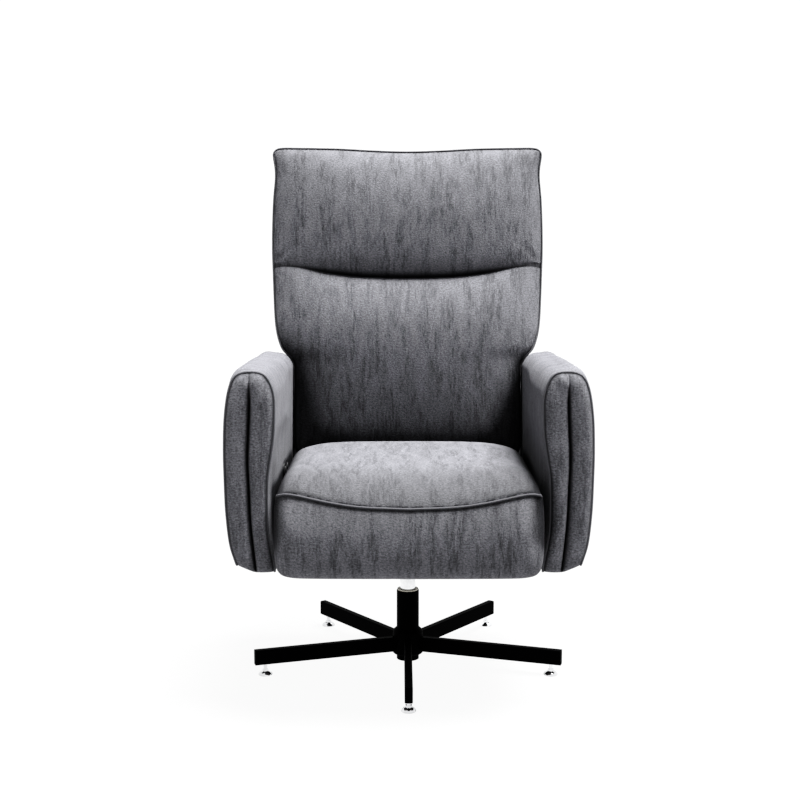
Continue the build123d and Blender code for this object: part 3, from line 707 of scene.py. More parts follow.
# rear panel: a shallow crown with one seam across at the head hinge
REAR = 46.0
rear_bottom = np.stack([246 * sx, np.full(NS, -20.0)], 1)
rear_mid = np.stack([312 * sx, np.full(NS, 447.0)], 1)
rl_line = spline([(246, -20), (254, 0), (262, 20), (266, 40), (267, 70), (266.6, 100), (265.5, 150), (265.2, 195), (266.6, 222), (270.5, 236), (278.5, 248), (288, 263),
                  (295.5, 292), (302, 318), (306.5, 354), (309, 391), (311.3, 430), (312, 447)])
ru_line = spline([(312, 447), (313.5, 486), (314, 543), (312.3, 620), (308.6, 676), (309.6, 698), (313.4, 724), (314, 733), (312, 739)])
rl_line[:, 0] -= TRIM * step(252, 280, rl_line[:, 0])
ru_line[:, 0] -= TRIM
ru_line[:, 1] -= DROP * step(470, 739, ru_line[:, 1])
rear_mid[:, 0] *= (312.0 - TRIM) / 312.0
rear_top = top_line.copy()
rear_top[:, 0] *= (312 - TRIM) / (314.0 - TRIM)
rear_top[:, 1] -= 0.6
rear_low = coons(rear_bottom, rear_mid, mirrored(height_at(rl_line, tl)), height_at(rl_line, tl), s01, tl)
rear_up = coons(rear_mid, rear_top, mirrored(at(ru_line, th)), at(ru_line, th), s01, th)


def rear_face(xz, seam_at_top):
    half = np.abs(xz[:, -1:, 0])
    side = roll((half - np.abs(xz[:, :, 0])) / 70, 2.0, 0.6)
    d_top = np.abs(xz[-1:, :, 1] - xz[:, :, 1])
    d_low = np.abs(xz[:, :, 1] - xz[:1, :, 1])
    up = roll(d_top / (26 if seam_at_top else 60), 2.0, 0.6)
    down = roll(d_low / (60 if seam_at_top else 26), 2.0, 0.6)
    crown = side * up * down
    y = REAR + 11.5 * crown
    return np.stack([xz[:, :, 0], y, xz[:, :, 1]], 2), np.minimum(up, down) * side


rear_low, rl_q = rear_face(rear_low, True)
rear_up, ru_q = rear_face(rear_up, False)


def seam_shade(p, edge, width=5.0):
    """Dark next to an edge line of points, fading out over width millimetres."""
    d = np.linalg.norm(p[:, :, None, :] - edge[None, None], axis=3).min(2)
    return np.exp(-((d / width) ** 2))


cloth = Cloth("back_and_head_cover")
perimeter_front = np.vstack([front_low[:, -1], front_up[1:, -1], front_up[-1, ::-1][1:], front_up[::-1, 0][1:], front_low[::-1, 0][1:]])
perimeter_rear = np.vstack([rear_low[:, -1], rear_up[1:, -1], rear_up[-1, ::-1][1:], rear_up[::-1, 0][1:], rear_low[::-1, 0][1:]])
nl, nu = len(lowp), len(headp)

v_low = np.repeat(lengths(lowp)[:, None], NS, 1)
v_up = np.repeat((lengths(headp) + v_low[-1, 0])[:, None], NS, 1)
edge_dist_low = np.abs(front_low[:, -1:, 0]) - np.abs(front_low[:, :, 0])
edge_dist_up = np.minimum(np.abs(front_up[:, -1:, 0]) - np.abs(front_up[:, :, 0]), front_up[-1:, :, 2] - front_up[:, :, 2])
# painted shade in the crease between back and head, wider away from the sides
far_low = step(25, 150, edge_dist_low)
far_up = step(25, 150, np.abs(front_up[:, -1:, 0]) - np.abs(front_up[:, :, 0]))
deep_low = np.exp(-(((fold[None, :, 2] - front_low[:, :, 2]) / (1.9 + 3.1 * far_low)) ** 2)) * (0.9 + 0.1 * far_low)
deep_up = np.exp(-(((front_up[:, :, 2] - fold[None, :, 2]) / (1.9 + 6.1 * far_up)) ** 2)) * (0.9 + 0.1 * far_up)
# painted shade: darker low down on the back and beside the arms, where seat and arms shade it, and wider on one side,
# where an arm's shadow falls
zl = front_low[:, :, 2]
painted_shade_low = np.interp(zl, [40, 57, 70, 93, 116, 139, 161, 184, 206, 229, 251, 274, 297, 330],
                    [1.3, 1.22, 1.02, 0.76, 0.66, 0.60, 0.52, 0.45, 0.40, 0.30, 0.21, 0.16, 0.11, 0.0])
beside_r = np.exp(-((edge_dist_low / 58.0) ** 1.6)) * (1 - step(262, 338, zl))
beside_l = np.exp(-((edge_dist_low / np.interp(zl, [93, 116, 139, 161, 184, 206, 229, 260], [60, 54, 44, 36, 27, 23, 18, 12])) ** 2)) * (1 - step(225, 285, zl))
painted_shade_low = np.clip(painted_shade_low + np.where(front_low[:, :, 0] < 0, beside_r, beside_l), 0, 1.4)
cloth.grid(from_back(front_low), v=v_low, painted_shade=painted_shade_low, seam=np.maximum(np.exp(-((edge_dist_low / 2.6) ** 2)) * 0.7, deep_low))
# painted shade: the top of the head, which takes the most light, is painted a little darker
painted_shade_up = 0.15 * step(600, 715, front_up[:, :, 2])
cloth.grid(from_back(front_up), v=v_up, painted_shade=painted_shade_up, seam=np.maximum(np.exp(-((edge_dist_up / 2.6) ** 2)) * 0.7, deep_up))
rear_v = np.repeat(lengths(rear_low[:, NS // 2])[:, None], NS, 1)
rear_vu = np.repeat(lengths(rear_up[:, NS // 2])[:, None], NS, 1) + rear_v[-1, 0]
# painted shade along the rear panels' edges, where the crown falls away
cloth.grid(from_back(rear_low), v=rear_v, seam=np.exp(-((rl_q / 0.22) ** 2)) * 0.8, u0=2000)
cloth.grid(from_back(rear_up), v=rear_vu, seam=np.exp(-((ru_q / 0.22) ** 2)) * 0.8, u0=2000)

# boxing band round the sides and the top
KB = 9
f = np.linspace(0, 1, KB)
band = perimeter_front[:, None] * (1 - f)[None, :, None] + perimeter_rear[:, None] * f[None, :, None]
mid = np.sin(f * pi)
centre = np.array([0, 0, 400.0])
nside = nl + nu - 1
tangent = np.gradient(even(perimeter_front, 400), axis=0)
where = lengths(perimeter_front)
where = where / where[-1]
tangent = np.column_stack([np.interp(where, np.linspace(0, 1, 400), tangent[:, k]) for k in range(3)])
outward = np.stack([tangent[:, 2], np.zeros(len(tangent)), -tangent[:, 0]], 1)
outward /= np.maximum(np.linalg.norm(outward, axis=1), 1e-9)[:, None]
band = band + outward[:, None] * (2.4 * mid)[None, :, None]
# behind the arms the sides swell out a little; beside them they stay clear
band_y = 195 + band[:, :, 2] * SL + band[:, :, 1] * CL
low_part = 1 - step(226, 246, band[:, :, 2])
swell_x = 5.5 * np.sin(np.clip((band_y - 215) / 60.0, 0, 1) * pi) * low_part
wide_x = np.abs(band[:, :, 0]) + swell_x
room_x = 261.0 + 7.0 * step(233, 243, band_y) + 80 * (1 - low_part)
inside = np.ones_like(wide_x)
inside[:, 0] = 0
band[:, :, 0] = np.where(inside > 0, np.sign(band[:, :, 0]) * np.minimum(wide_x, room_x), band[:, :, 0])
# painted shade lines along both seams of the boxing band; the front panels' painted shade fades onto the band
band_seam = np.broadcast_to(np.maximum(np.exp(-((f / 0.07) ** 2)), np.exp(-(((1 - f) / 0.07) ** 2)))[None] * 0.8, band.shape[:2])
right, topb, left = slice(0, nside), slice(nside - 1, nside + NS - 1), slice(nside + NS - 2, None)
fade = 1 - step(0.0, 0.5, f)
painted_shade_r = np.r_[painted_shade_low[:, -1], painted_shade_up[1:, -1]][:, None] * fade[None]
painted_shade_l = np.r_[painted_shade_up[::-1, 0][:-1], painted_shade_low[::-1, 0]][:, None] * fade[None]
cloth.grid(from_back(band[right]), seam=band_seam[right], u0=900, painted_shade=painted_shade_r)
cloth.grid(from_back(band[topb]), seam=band_seam[topb], turn=True, u0=1400, painted_shade=0.15 * fade[None])
cloth.grid(from_back(band[left]), seam=band_seam[left], u0=-900, painted_shade=painted_shade_l)

# underside, arched up over the pivots
path = np.array([(0.0, 0.0), (0.10, 0.02), (0.22, 0.10), (0.28, 0.75), (0.45, 1.0), (0.70, 1.0), (0.84, 0.75), (0.88, 0.05), (0.93, 0.0), (1.0, 0.0)])
edge_r = band[0]
edge_l = band[-1]
und = []
for k in range(KB):
    a = f[k]
    base = front_low[0] * (1 - a) + rear_low[0] * a
    h = np.interp(a, path[:, 0], path[:, 1])
    base = base.copy()
    base[:, 2] += h * 62.0 * np.minimum(1, (1 - np.abs(sx)) * 12)
    base[-1] = edge_r[k]
    base[0] = edge_l[k]
    und.append(base)
# the underside is painted darker, as shade under the back
cloth.grid(from_back(np.array(und)), seam=0.5)
back_cover = cloth.build()
settle(back_cover, 4.0, 0.022, 0.6, lambda p: step(0.200, 0.238, np.abs(p[:, 0])) * (1 - step(0.640, 0.720, p[:, 2])))
dress(back_cover, cover_mat)

front_edge = from_back(perimeter_front)
rear_edge = from_back(perimeter_rear)


fe = perimeter_front.copy()
fe += outward * 1.2
fe[:, 1] -= 1.2
# beside the arms the front welt sinks into its seam
sink = 1 - step(222, 252, fe[:, 2])
fe -= outward * (6.0 * sink)[:, None]
fe[:, 1] += 5.0 * sink
back_welt = tube("back_front_welt", even(from_back(fe[fe[:, 2] > 150]), 400), 1.9, 10)
re_ = perimeter_rear.copy()
re_ += outward * 1.0
re_[:, 1] += 1.2
rear_welt = tube("back_rear_welt", even(from_back(re_[4:-4]), 420), 2.4, 10)
for w in (back_welt, rear_welt):
    dress(w, welt_mat)
for w in (back_cover, back_welt, rear_welt):
    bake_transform(w)
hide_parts("back_cushion", "back_shell", "head_cushion", "head_shell")

# ======================================================================================
# Seat cushion
# ======================================================================================

NC = 69
cx = spread(NC)
WX = 254.0
g = 1 - np.sqrt(np.clip(1 - np.abs(cx) ** 5.5, 0, 1))
centre_line = spline([(133, 441), (135, 450), (131, 459), (119, 467), (97, 471.6), (70, 473.9), (20, 475), (-60, 474.4), (-140, 473.6),
                      (-220, 472.6), (-276, 471), (-302, 469), (-322, 465.6), (-340, 460.2), (-355, 453.4), (-368, 445), (-378, 436.4),
                      (-385, 428.4), (-389, 421.8)])
side_line = spline([(119, 424), (118, 428), (114, 431), (106, 433.4), (70, 435.2), (10, 436.6), (-60, 438), (-130, 440),
                    (-200, 442), (-260, 444.4), (-300, 446), (-330, 447.6), (-352, 448.8), (-366, 449.4)])
NR = 74
fr = np.linspace(0, 1, NR)
cl = at(centre_line, fr)
sd = at(side_line, fr)
yz = (1 - g)[None, :, None] * cl[:, None] + g[None, :, None] * sd[:, None]
# the seam keeps its own curve across the front
seam_z = spline([(0, 421.8), (93, 425.7), (150, 433.4), (206, 444.2), (226, 446.8), (237, 446.8), (246, 445.0), (254, 442.6)])
seam_y = spline([(0, -389), (93, -388), (150, -385), (206, -378.5), (242, -370), (254, -366)])
ax_ = np.abs(cx) * WX
want = np.stack([np.interp(ax_, seam_y[:, 0], seam_y[:, 1]), np.interp(ax_, seam_z[:, 0], seam_z[:, 1])], 1)
shift = want - yz[-1]
yz = yz + shift[None] * step(0.35, 1.0, fr)[:, None, None]
top_grid = np.dstack([np.repeat((cx * WX)[None], NR, 0), yz[:, :, 0], yz[:, :, 1]])

cloth = Cloth("seat_cushion_cover")
d_seam = np.linalg.norm(top_grid - top_grid[-1][None], axis=2)
# painted shade: the seat's side edges go dark where the arms meet and shade them, and a dark line runs along the front
# seam
rim = 0.95 * np.where(top_grid[:, :, 0] > 0, step(208, 248, top_grid[:, :, 0]), step(218, 249, -top_grid[:, :, 0])) ** 1.2
seam_w = 6.4 + 7.0 * step(120, 235, np.abs(top_grid[:, :, 0]))
# painted shade: the front roll is darker towards the seam, where the light falls off
painted_shade_top = 0.78 * (1 - step(-385, -190, top_grid[:, :, 1]))
cloth.grid(top_grid[::-1], painted_shade=painted_shade_top[::-1], seam=np.maximum(np.exp(-((d_seam / seam_w) ** 4)) * 0.9, rim)[::-1])

# walls: rear and both sides drop to the webbing, the front tucks in under the seam
rear_edge_s = top_grid[0]
right_edge_s = top_grid[:, -1]
left_edge_s = top_grid[:, 0]
KW = 9
fw = np.linspace(0, 1, KW)
zb = 371.0


loop = np.vstack([right_edge_s[::-1], rear_edge_s[::-1][1:], left_edge_s[1:]])  # front right, round the rear, to front left
low_y = np.where(loop[:, 1] < -329, -329 + (loop[:, 1] + 329) * 0.0, loop[:, 1])
walls = []
for k in fw:
    r = loop.copy()
    r[:, 2] = loop[:, 2] + (zb - loop[:, 2]) * k
    r[:, 1] = loop[:, 1] + (low_y - loop[:, 1]) * step(0.25, 0.75, k)
    c_ = 1 - 0.018 * step(0.7, 1.0, k) + 0.006 * sin(k * pi)
    r[:, 0] *= c_
    walls.append(r)
walls = np.array(walls)
# the top's painted seam, edge and front-roll shade carries down the walls, fading
seat_seam = np.maximum(np.exp(-((d_seam / seam_w) ** 4)) * 0.9, rim)
loop_seam = np.r_[seat_seam[:, -1][::-1], seat_seam[0][::-1][1:], seat_seam[:, 0][1:]]
loop_painted_shade = np.r_[painted_shade_top[:, -1][::-1], painted_shade_top[0][::-1][1:], painted_shade_top[:, 0][1:]]
cloth.grid(walls.transpose(1, 0, 2), turn=False, u0=700, seam=loop_seam[:, None] * (1 - step(0.0, 0.6, fw))[None], painted_shade=loop_painted_shade[:, None])
front = top_grid[-1]
fronts = []
for k in fw:
    r = front.copy()
    end_l, end_r = walls[int(round(k * (KW - 1))), -1], walls[int(round(k * (KW - 1))), 0]
    y_in = np.interp(k, [0, 0.12, 0.25, 0.6, 0.7, 1], [0, 9, 22, 52, 59, 60])
    drop = np.interp(k, [0, 0.12, 0.25, 0.6, 0.7, 1], [0, 0.16, 0.2, 0.24, 0.34, 1.0])
    r[:, 1] = np.minimum(front[:, 1] + y_in, -329)
    r[:, 2] = front[:, 2] + (zb - front[:, 2]) * drop
    keep = step(0.86, 1.0, np.abs(cx))
    target = np.where(cx[:, None] > 0, end_r[None], end_l[None])
    r = r * (1 - keep[:, None]) + target * keep[:, None]
    r[0], r[-1] = end_l, end_r
    fronts.append(r)
fronts = np.array(fronts)
cloth.grid(fronts, u0=300)
# bottom
bl = walls[-1]
nr_ = NR
right_b = bl[:nr_][::-1]
rear_b = bl[nr_ - 1 : nr_ - 1 + NC][::-1]
left_b = bl[nr_ - 1 + NC - 1 :]
front_b = fronts[-1]
# rows from the rear to the front, columns from left to right
bottom = coons(rear_b, front_b, left_b, right_b, np.linspace(0, 1, NC), np.linspace(0, 1, NR))
# the bottom is painted darker, as shade under the seat
cloth.grid(bottom, u0=1500, seam=0.3)
seat_cover = cloth.build()
settle(seat_cover, 4.0, 0.022, 0.3)
dress(seat_cover, seat_mat)
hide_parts("seat_cushion")
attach(seat_cover, "seat")

# ======================================================================================
# Front apron, which is the footrest's pad
# ======================================================================================

NA = NC
ap = spline([(282.2, -350), (282.2, -366), (284, -380), (289.5, -392), (299, -401.5), (317, -407.8), (340, -410), (363, -409),
             (384, -405.4), (400, -400.4), (412, -394.8), (421.8, -389)])
NP = 56
app = even(ap, NP)
ta = np.maximum.accumulate((app[:, 0] - 282.2) / (421.8 - 282.2))
ta = ta + np.linspace(0, 0.02, NP) * (1 - ta)
ta = (ta - ta[0]) / (ta[-1] - ta[0])
side_ap = spline([(251, 290.6), (256.0, 300), (259.0, 318), (260.2, 335), (260.4, 356), (259.8, 386), (257.8, 416), (254, 442.6)])
bot_ap = spline([(-251, 290.6), (-243, 286.1), (-227, 283.7), (-196, 282.7), (-100, 282.3), (0, 282.2), (100, 282.3), (196, 282.7),
                 (227, 283.7), (243, 286.1), (251, 290.6)])
c01 = (cx + 1) / 2
bot = at(bot_ap, c01)
seam_front = np.stack([top_grid[-1][:, 0], top_grid[-1][:, 2]], 1)
ra = height_at(side_ap, ta)
xz_ap = coons(bot, seam_front, mirrored(ra), ra, c01, ta)
EDGE = -349.0
half = np.abs(xz_ap[:, -1:, 0])
ra_roll = roll((half - np.abs(xz_ap[:, :, 0])) / 52.0, 2.2, 0.52)
y_edge = EDGE + (top_grid[-1][None, :, 1] * 0 - 366 - EDGE) * (ta[:, None] ** 3)
y_ap = y_edge + (app[:, 1][:, None] - y_edge) * ra_roll
y_ap = y_ap + (top_grid[-1][:, 1] - y_ap[-1])[None] * step(0.55, 1.0, ta)[:, None]
front_ap = np.dstack([xz_ap[:, :, 0], y_ap, xz_ap[:, :, 1]])
front_ap[-1] = top_grid[-1]
cloth = Cloth("footrest_apron_cover")
da = np.linalg.norm(front_ap - front_ap[-1][None], axis=2)
va = np.repeat(lengths(app)[:, None], NA, 1)
# painted shade: the apron's upper part, which the light from above brightens, is painted darker, less towards the sides
painted_shade_apron = 0.74 * step(325, 425, front_ap[:, :, 2]) * (1 - 0.3 * step(150, 240, np.abs(front_ap[:, :, 0])))
# painted shadow of the arms on the apron's upper side edges, wider on the +x side
left_ap = np.where(front_ap[:, :, 0] > 0, 1.0, 0.0)
rim_from = 249 - (24 + 12 * left_ap) * step(320, 395, front_ap[:, :, 2])
rim_to = 258 - 7 * left_ap * step(320, 395, front_ap[:, :, 2])
rim_ap = 0.95 * step(0, 1, (np.abs(front_ap[:, :, 0]) - rim_from) / (rim_to - rim_from)) * step(300, 350, front_ap[:, :, 2])
cloth.grid(front_ap, v=va, painted_shade=np.minimum(painted_shade_apron, 0.78), seam=np.maximum(np.exp(-((da / 3.5) ** 4)) * 0.9, rim_ap), v0=-200)
# rear lining panel and the edge band
lin_scale = np.array([0.985, 1.0])
lx = xz_ap[:, :, 0] * 0.985
lz = 290 + (np.minimum(xz_ap[:, :, 1], 452) - xz_ap[:1, :, 1]) / (xz_ap[-1:, :, 1] - xz_ap[:1, :, 1]) * (404 - 290)
rear_ap = np.dstack([lx, np.full_like(lx, -337.0), lz])
per_f = np.vstack([front_ap[::-1, -1], front_ap[0, ::-1][1:], front_ap[:, 0][1:]])
per_r = np.vstack([rear_ap[::-1, -1], rear_ap[0, ::-1][1:], rear_ap[:, 0][1:]])
KE = 6
fe_ = np.linspace(0, 1, KE)
strip = per_f[None] * (1 - fe_)[:, None, None] + per_r[None] * fe_[:, None, None]
# the front's painted seam, rim and top shade carries onto the edge band
ap_seam = np.maximum(np.exp(-((da / 3.5) ** 4)) * 0.9, rim_ap)
apron_painted_shade = np.minimum(painted_shade_apron, 0.78)
edge_seam = np.r_[ap_seam[::-1, -1], ap_seam[0, ::-1][1:], ap_seam[:, 0][1:]]
edge_painted_shade = np.r_[apron_painted_shade[::-1, -1], apron_painted_shade[0, ::-1][1:], apron_painted_shade[:, 0][1:]]
cloth.grid(strip.transpose(1, 0, 2), u0=500, seam=edge_seam[:, None] * (1 - 0.6 * fe_)[None], painted_shade=edge_painted_shade[:, None] * (1 - fe_)[None])
tuck = []
for k in fe_:
    r = front_ap[-1] * (1 - k) + rear_ap[-1] * k
    r[:, 2] -= 6.0 * sin(k * pi) * 0.6
    r[0], r[-1] = strip[int(round(k * (KE - 1))), -1], strip[int(round(k * (KE - 1))), 0]
    tuck.append(r)
# the tuck and the rear lining are painted darker, as shade
cloth.grid(np.array(tuck), u0=800, seam=0.3)
cloth.grid(rear_ap, u0=1200, seam=0.25)
apron = cloth.build()
settle(apron, 4.0, 0.022, 0.4)
dress(apron, cover_mat)
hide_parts("footrest_pad")
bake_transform(apron)

seam_path = top_grid[-1].copy()
seam_path[:, 1] -= 2.4
seam_path[:, 2] += 0.3
ends = [np.array([[k * 249.5, -356.0, 440.0], [k * 251.4, -362.5, 442.2]]) for k in (-1, 1)]
seam_path = np.vstack([ends[0], seam_path[np.abs(seam_path[:, 0]) < 249.6], ends[1][::-1]])
seat_welt = tube("seat_seam_welt", even(spline(seam_path, 6), 240), 2.5, 10)
dress(seat_welt, seam_mat)
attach(seat_welt, "seat")

# ======================================================================================
# Arms
# ======================================================================================

outline = spline([
    (334.5, 297), (338.5, 309), (346.2, 336), (352.9, 398), (355.0, 461), (355.6, 521.6), (352.7, 590.5), (345.1, 639.3),
    (337.1, 660.1), (328.5, 669.0), (316.1, 673.4), (302.7, 674.3), (287.1, 672.6), (276.9, 667.4), (268.8, 656.1), (262.7, 640.3),
    (259.9, 624.7), (259.7, 593.4), (261.7, 553.5), (268.4, 507), (273.4, 475.8), (275.6, 428.9), (274.8, 366.2), (270.6, 334.5),
    (264.6, 302), (262.4, 284),
])
mid_line = spline([(298.4, 281.5), (303.9, 335.7), (307.9, 382.9), (310.1, 445.6), (312.3, 507.9), (310, 554.3), (307, 615.9), (306.5, 650), (306.3, 667)])
FRONT = -318.0
NU = 150
ol = even(outline, NU)
k_top = int(np.argmax(ol[:, 1]))


def medial(line, ends_at=1.0):
    """Crease points that pair with the outline: up the outer side, then down the inner one."""
    a = np.linspace(0, 1, k_top + 1)
    b = np.linspace(1, 0, NU - k_top)
    return np.vstack([at(line, a), at(line, b)[1:]])


me_line = medial(mid_line)
NV = 26
fv = np.linspace(0, 1, NV)
fv = 0.5 - 0.5 * np.cos(pi * fv)


def arm(sign, name):
    p2 = ol[:, None] * (1 - fv)[None, :, None] + me_line[:, None] * fv[None, :, None]
    z = p2[:, :, 1]
    soft = step(668, 612, z)  # the crease fades in below the top
    fat = (1 - np.abs(2 * fv - 1) ** 2.8) ** 0.6
    dome = roll(fv / 0.8, 2.0, 0.6)
    h = 16.0
    channel = h * fat[None] - (8.0 * step(0.86, 1.0, fv))[None]
    whole = h * dome[None] * np.ones_like(z)
    lift = channel * soft + whole * (1 - soft)
    span = np.linalg.norm(me_line - ol, axis=1)
    lift = lift * np.clip(span / 34.0, 0.0, 1.0)[:, None] ** 0.8
    bottom_roll = roll((z - (282 + 15 * np.clip((p2[:, :, 0] - 300) / 36, 0, 1))) / 26.0, 2.0, 0.5)
    y = FRONT - lift * (0.15 + 0.85 * bottom_roll)
    panel = np.dstack([p2[:, :, 0] * sign, y, z])
    d_pipe = np.linalg.norm(p2 - ol[:, None], axis=2)
    d_mid = np.linalg.norm(p2 - me_line[:, None], axis=2)
    # painted shade lines beside the welt and down the crease
    shade = np.maximum(np.exp(-((d_pipe / 3.9) ** 4)) * 0.85, np.exp(-((d_mid / 3.6) ** 3)) * soft)
    c = Cloth(name)
    # streaks stay upright on the panel
    c.grid(panel, u=p2[:, :, 0], v=p2[:, :, 1], seam=shade, u0=3000 * sign)

    # body
    ys = np.r_[FRONT, FRONT + 2.5, FRONT + 6, FRONT + 12, FRONT + 20, np.linspace(-285, 150, 40), np.linspace(158, 228, 16), 232, 234, 235]
    tan = np.gradient(ol, axis=0)
    nrm = np.stack([tan[:, 1], -tan[:, 0]], 1)
    nrm /= np.linalg.norm(nrm, axis=1)[:, None]
    if (nrm[NU // 4] @ np.array([1.0, 0])) < 0:
        nrm = -nrm
    body = []
    for yy in ys:
        e = yy - FRONT
        swell = 3.2 * (1 - np.exp(-e / 10.0)) - 1.6 * np.exp(-((e - 3) / 3.0) ** 2) * (e > 0)
        # fuller behind the piping at the outer shoulder
        full = step(600, 655, ol[:, 1]) * step(300, 322, ol[:, 0]) * 6.5 * step(4, 70, e) * (1 - 0.4 * step(250, 480, e))
        o = ol + nrm * (swell + full)[:, None]
        # the inner face stands against the seat behind the front panel
        close = step(60, 140, yy)
        inn = step(320, 365, o[:, 1]) * (1 - step(480 + 80 * close, 570 + 60 * close, o[:, 1])) * (o[:, 0] < 300)
        o[:, 0] += (264.5 - 2.5 * close - o[:, 0]) * inn * step(-300, -215, yy)
        o[:, 0] = np.where((o[:, 0] < 300), np.maximum(o[:, 0], 257.5 + 4.5 * step(-60, 60, yy)), o[:, 0])
        # the top falls a little to the rear and rounds down at the end
        r = np.clip((yy - 178) / 57.0, 0, 1)
        top_drop = 14.0 * np.clip(e / 468, 0, 1) + 46 * (1 - np.sqrt(1 - min(r, 0.999) ** 2.4))
        o[:, 1] -= top_drop * step(420, 674, o[:, 1])
        pull_out = 10.0 * (1 - np.sqrt(1 - np.clip((yy - 208) / 27.0, 0, 0.999) ** 2))
        pull_in = 4.0 * (1 - np.sqrt(1 - np.clip((yy - 221) / 14.0, 0, 0.999) ** 2))
        o = o - nrm * np.where(nrm[:, 0] > -0.2, pull_out, pull_in)[:, None]
        body.append(np.column_stack([o[:, 0] * sign, np.full(NU, yy), o[:, 1]]))
    body = np.array(body)
    body[0] = panel[:, 0]
    e0 = np.abs(ys - FRONT)
    # painted shade line just behind the front welt
    sh = np.exp(-((e0 / 4.2) ** 4)) * 0.85
    girth = lengths(ol)
    # painted shade on the inner face: darker low down towards the seat, with a dark contact band where the seat's edge
    # meets it; on one arm it fades towards the front
    inner_side = np.abs(body[:, :, 0]) < 290
    along = step(4, 60, e0) * (1 - step(120, 225, ys))
    share = along * (0.45 + 0.55 * step(-230, 60, ys) if sign > 0 else 1.0)
    low_in = 0.75 * (1 - step(440, 600, body[:, :, 2])) * inner_side * share[:, None]
    low_in = low_in + 0.55 * (1 - step(432, 460, body[:, :, 2])) * inner_side * along[:, None]
    c.grid(body, u=np.repeat((ys - FRONT)[:, None], NU, 1), v=np.repeat(girth[None], len(ys), 0), seam=sh[:, None], u0=900 * sign, painted_shade=low_in)

    # rear panel on the same lines
    last = body[-1]
    rm = medial(mid_line)
    rm3 = np.column_stack([rm[:, 0] * sign, np.full(NU, 235.0), rm[:, 1]])
    rm3[:, 2] = last[:, 2].min() + (rm3[:, 2] - rm3[:, 2].min()) / (rm3[:, 2].max() - rm3[:, 2].min()) * (last[:, 2].max() - 6 - last[:, 2].min())
    rear = last[:, None] * (1 - fv)[None, :, None] + rm3[:, None] * fv[None, :, None]
    rear[:, :, 1] = 235 + 3.0 * roll(fv / 0.9, 2.0, 0.7)[None]
    c.grid(rear, u=rear[:, :, 0], v=rear[:, :, 2], u0=5000 * sign)

    # underside
    front_edge_ = np.vstack([panel[0], panel[-1, ::-1][1:]])
    rear_edge_ = np.vstack([rear[0], rear[-1, ::-1][1:]])
    w = (ys - FRONT) / (ys[-1] - FRONT)
    under_ = front_edge_[None] * (1 - w)[:, None, None] + rear_edge_[None] * w[:, None, None]
    keep = np.exp(-(ys - FRONT) / 14.0)[:, None]
    under_[:, :, 1] = ys[:, None] * (1 - 0) + (front_edge_[None, :, 1] - FRONT) * keep
    under_[0] = front_edge_
    under_[-1] = rear_edge_
    under_[:, 0] = body[:, 0]
    under_[:, -1] = body[:, -1]
    # the underside is painted a little darker, as shade
    c.grid(under_, u0=1800 * sign, seam=0.2)
    ob = c.build()
    # front and rear welts
    path_ = np.column_stack([ol[:, 0] * sign, np.full(NU, FRONT - 1.2), ol[:, 1]])
    path_[:, 0] += nrm[:, 0] * 0.8 * sign
    path_[:, 2] += nrm[:, 1] * 0.8
    # both ends turn in under the arm
    a_end = path_[0] + np.array([[-3.0 * sign, 14.0, 6.0], [-1.0 * sign, 6.0, 1.0]])
    b_end = path_[-1] + np.array([[0.6 * sign, 6.0, 1.0], [2.4 * sign, 14.0, 6.0]])
    path_ = np.vstack([a_end, path_, b_end])
    side = "left" if sign > 0 else "right"
    wf = tube("arm_welt_" + side, even(path_, 280), 2.5, 10)
    return ob, wf


for sign, side in ((1, "left"), (-1, "right")):
    a, w = arm(sign, "arm_cover_" + side)
    dress(a, arm_mat)
    dress(w, arm_welt_mat)
    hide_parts("arm_pad_" + side)
    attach(a, "seat")
    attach(w, "seat")

# ======================================================================================
# Rear skirt and underside cloth
# ======================================================================================


def panel_box(name, lo, hi, crown, rounding=4.0, n=25, m=13):
    """A thin upholstered board: crowned faces, soft edges."""
    lo, hi = np.array(lo, float), np.array(hi, float)
    size = hi - lo
    thin = int(np.argmin(size))
    others = [k for k in range(3) if k != thin]
    s = spread(n)
    t = spread(m)
    c = Cloth(name)
    S, T = np.meshgrid(s, t)
    half_ = size / 2
    mid_ = (lo + hi) / 2
    ds = (1 - np.abs(S)) * half_[others[0]]
    dt = (1 - np.abs(T)) * half_[others[1]]
    edge = np.minimum(ds, dt)
    e = roll(edge / rounding, 2.0, 0.5)
    b = roll(ds / 60, 2, 0.7) * roll(dt / 30, 2, 0.7)
    faces_ = []
    for side in (-1, 1):
        p = np.zeros(S.shape + (3,))
        p[..., others[0]] = mid_[others[0]] + S * half_[others[0]]
        p[..., others[1]] = mid_[others[1]] + T * half_[others[1]]
        p[..., thin] = mid_[thin] + side * ((half_[thin] - rounding) + rounding * e + crown * b)
        faces_.append(p)
        # painted shade along the board's edges
        c.grid(p, seam=np.exp(-((edge / 3.0) ** 2)) * 0.4)
    a, b_ = faces_
    for q in ((a[0], b_[0]), (a[-1], b_[-1]), (a[:, 0], b_[:, 0]), (a[:, -1], b_[:, -1])):
        c.grid(np.stack([q[0], q[0] * 0.5 + q[1] * 0.5, q[1]]))
    return c.build()


skirt = panel_box("rear_skirt_cover", (-258.5, 250.5, 290), (258.5, 262, 365), 2.0, 4.5, 41, 15)
skirt_l = panel_box("rear_skirt_side_left", (242.5, 100, 290), (259.5, 249, 337), 0.8, 4.0, 21, 11)
skirt_r = panel_box("rear_skirt_side_right", (-259.5, 100, 290), (-242.5, 249, 337), 0.8, 4.0, 21, 11)
for ob in (skirt, skirt_l, skirt_r):
    dress(ob, cover_mat)
    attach(ob, "seat")
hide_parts("rear_skirt")

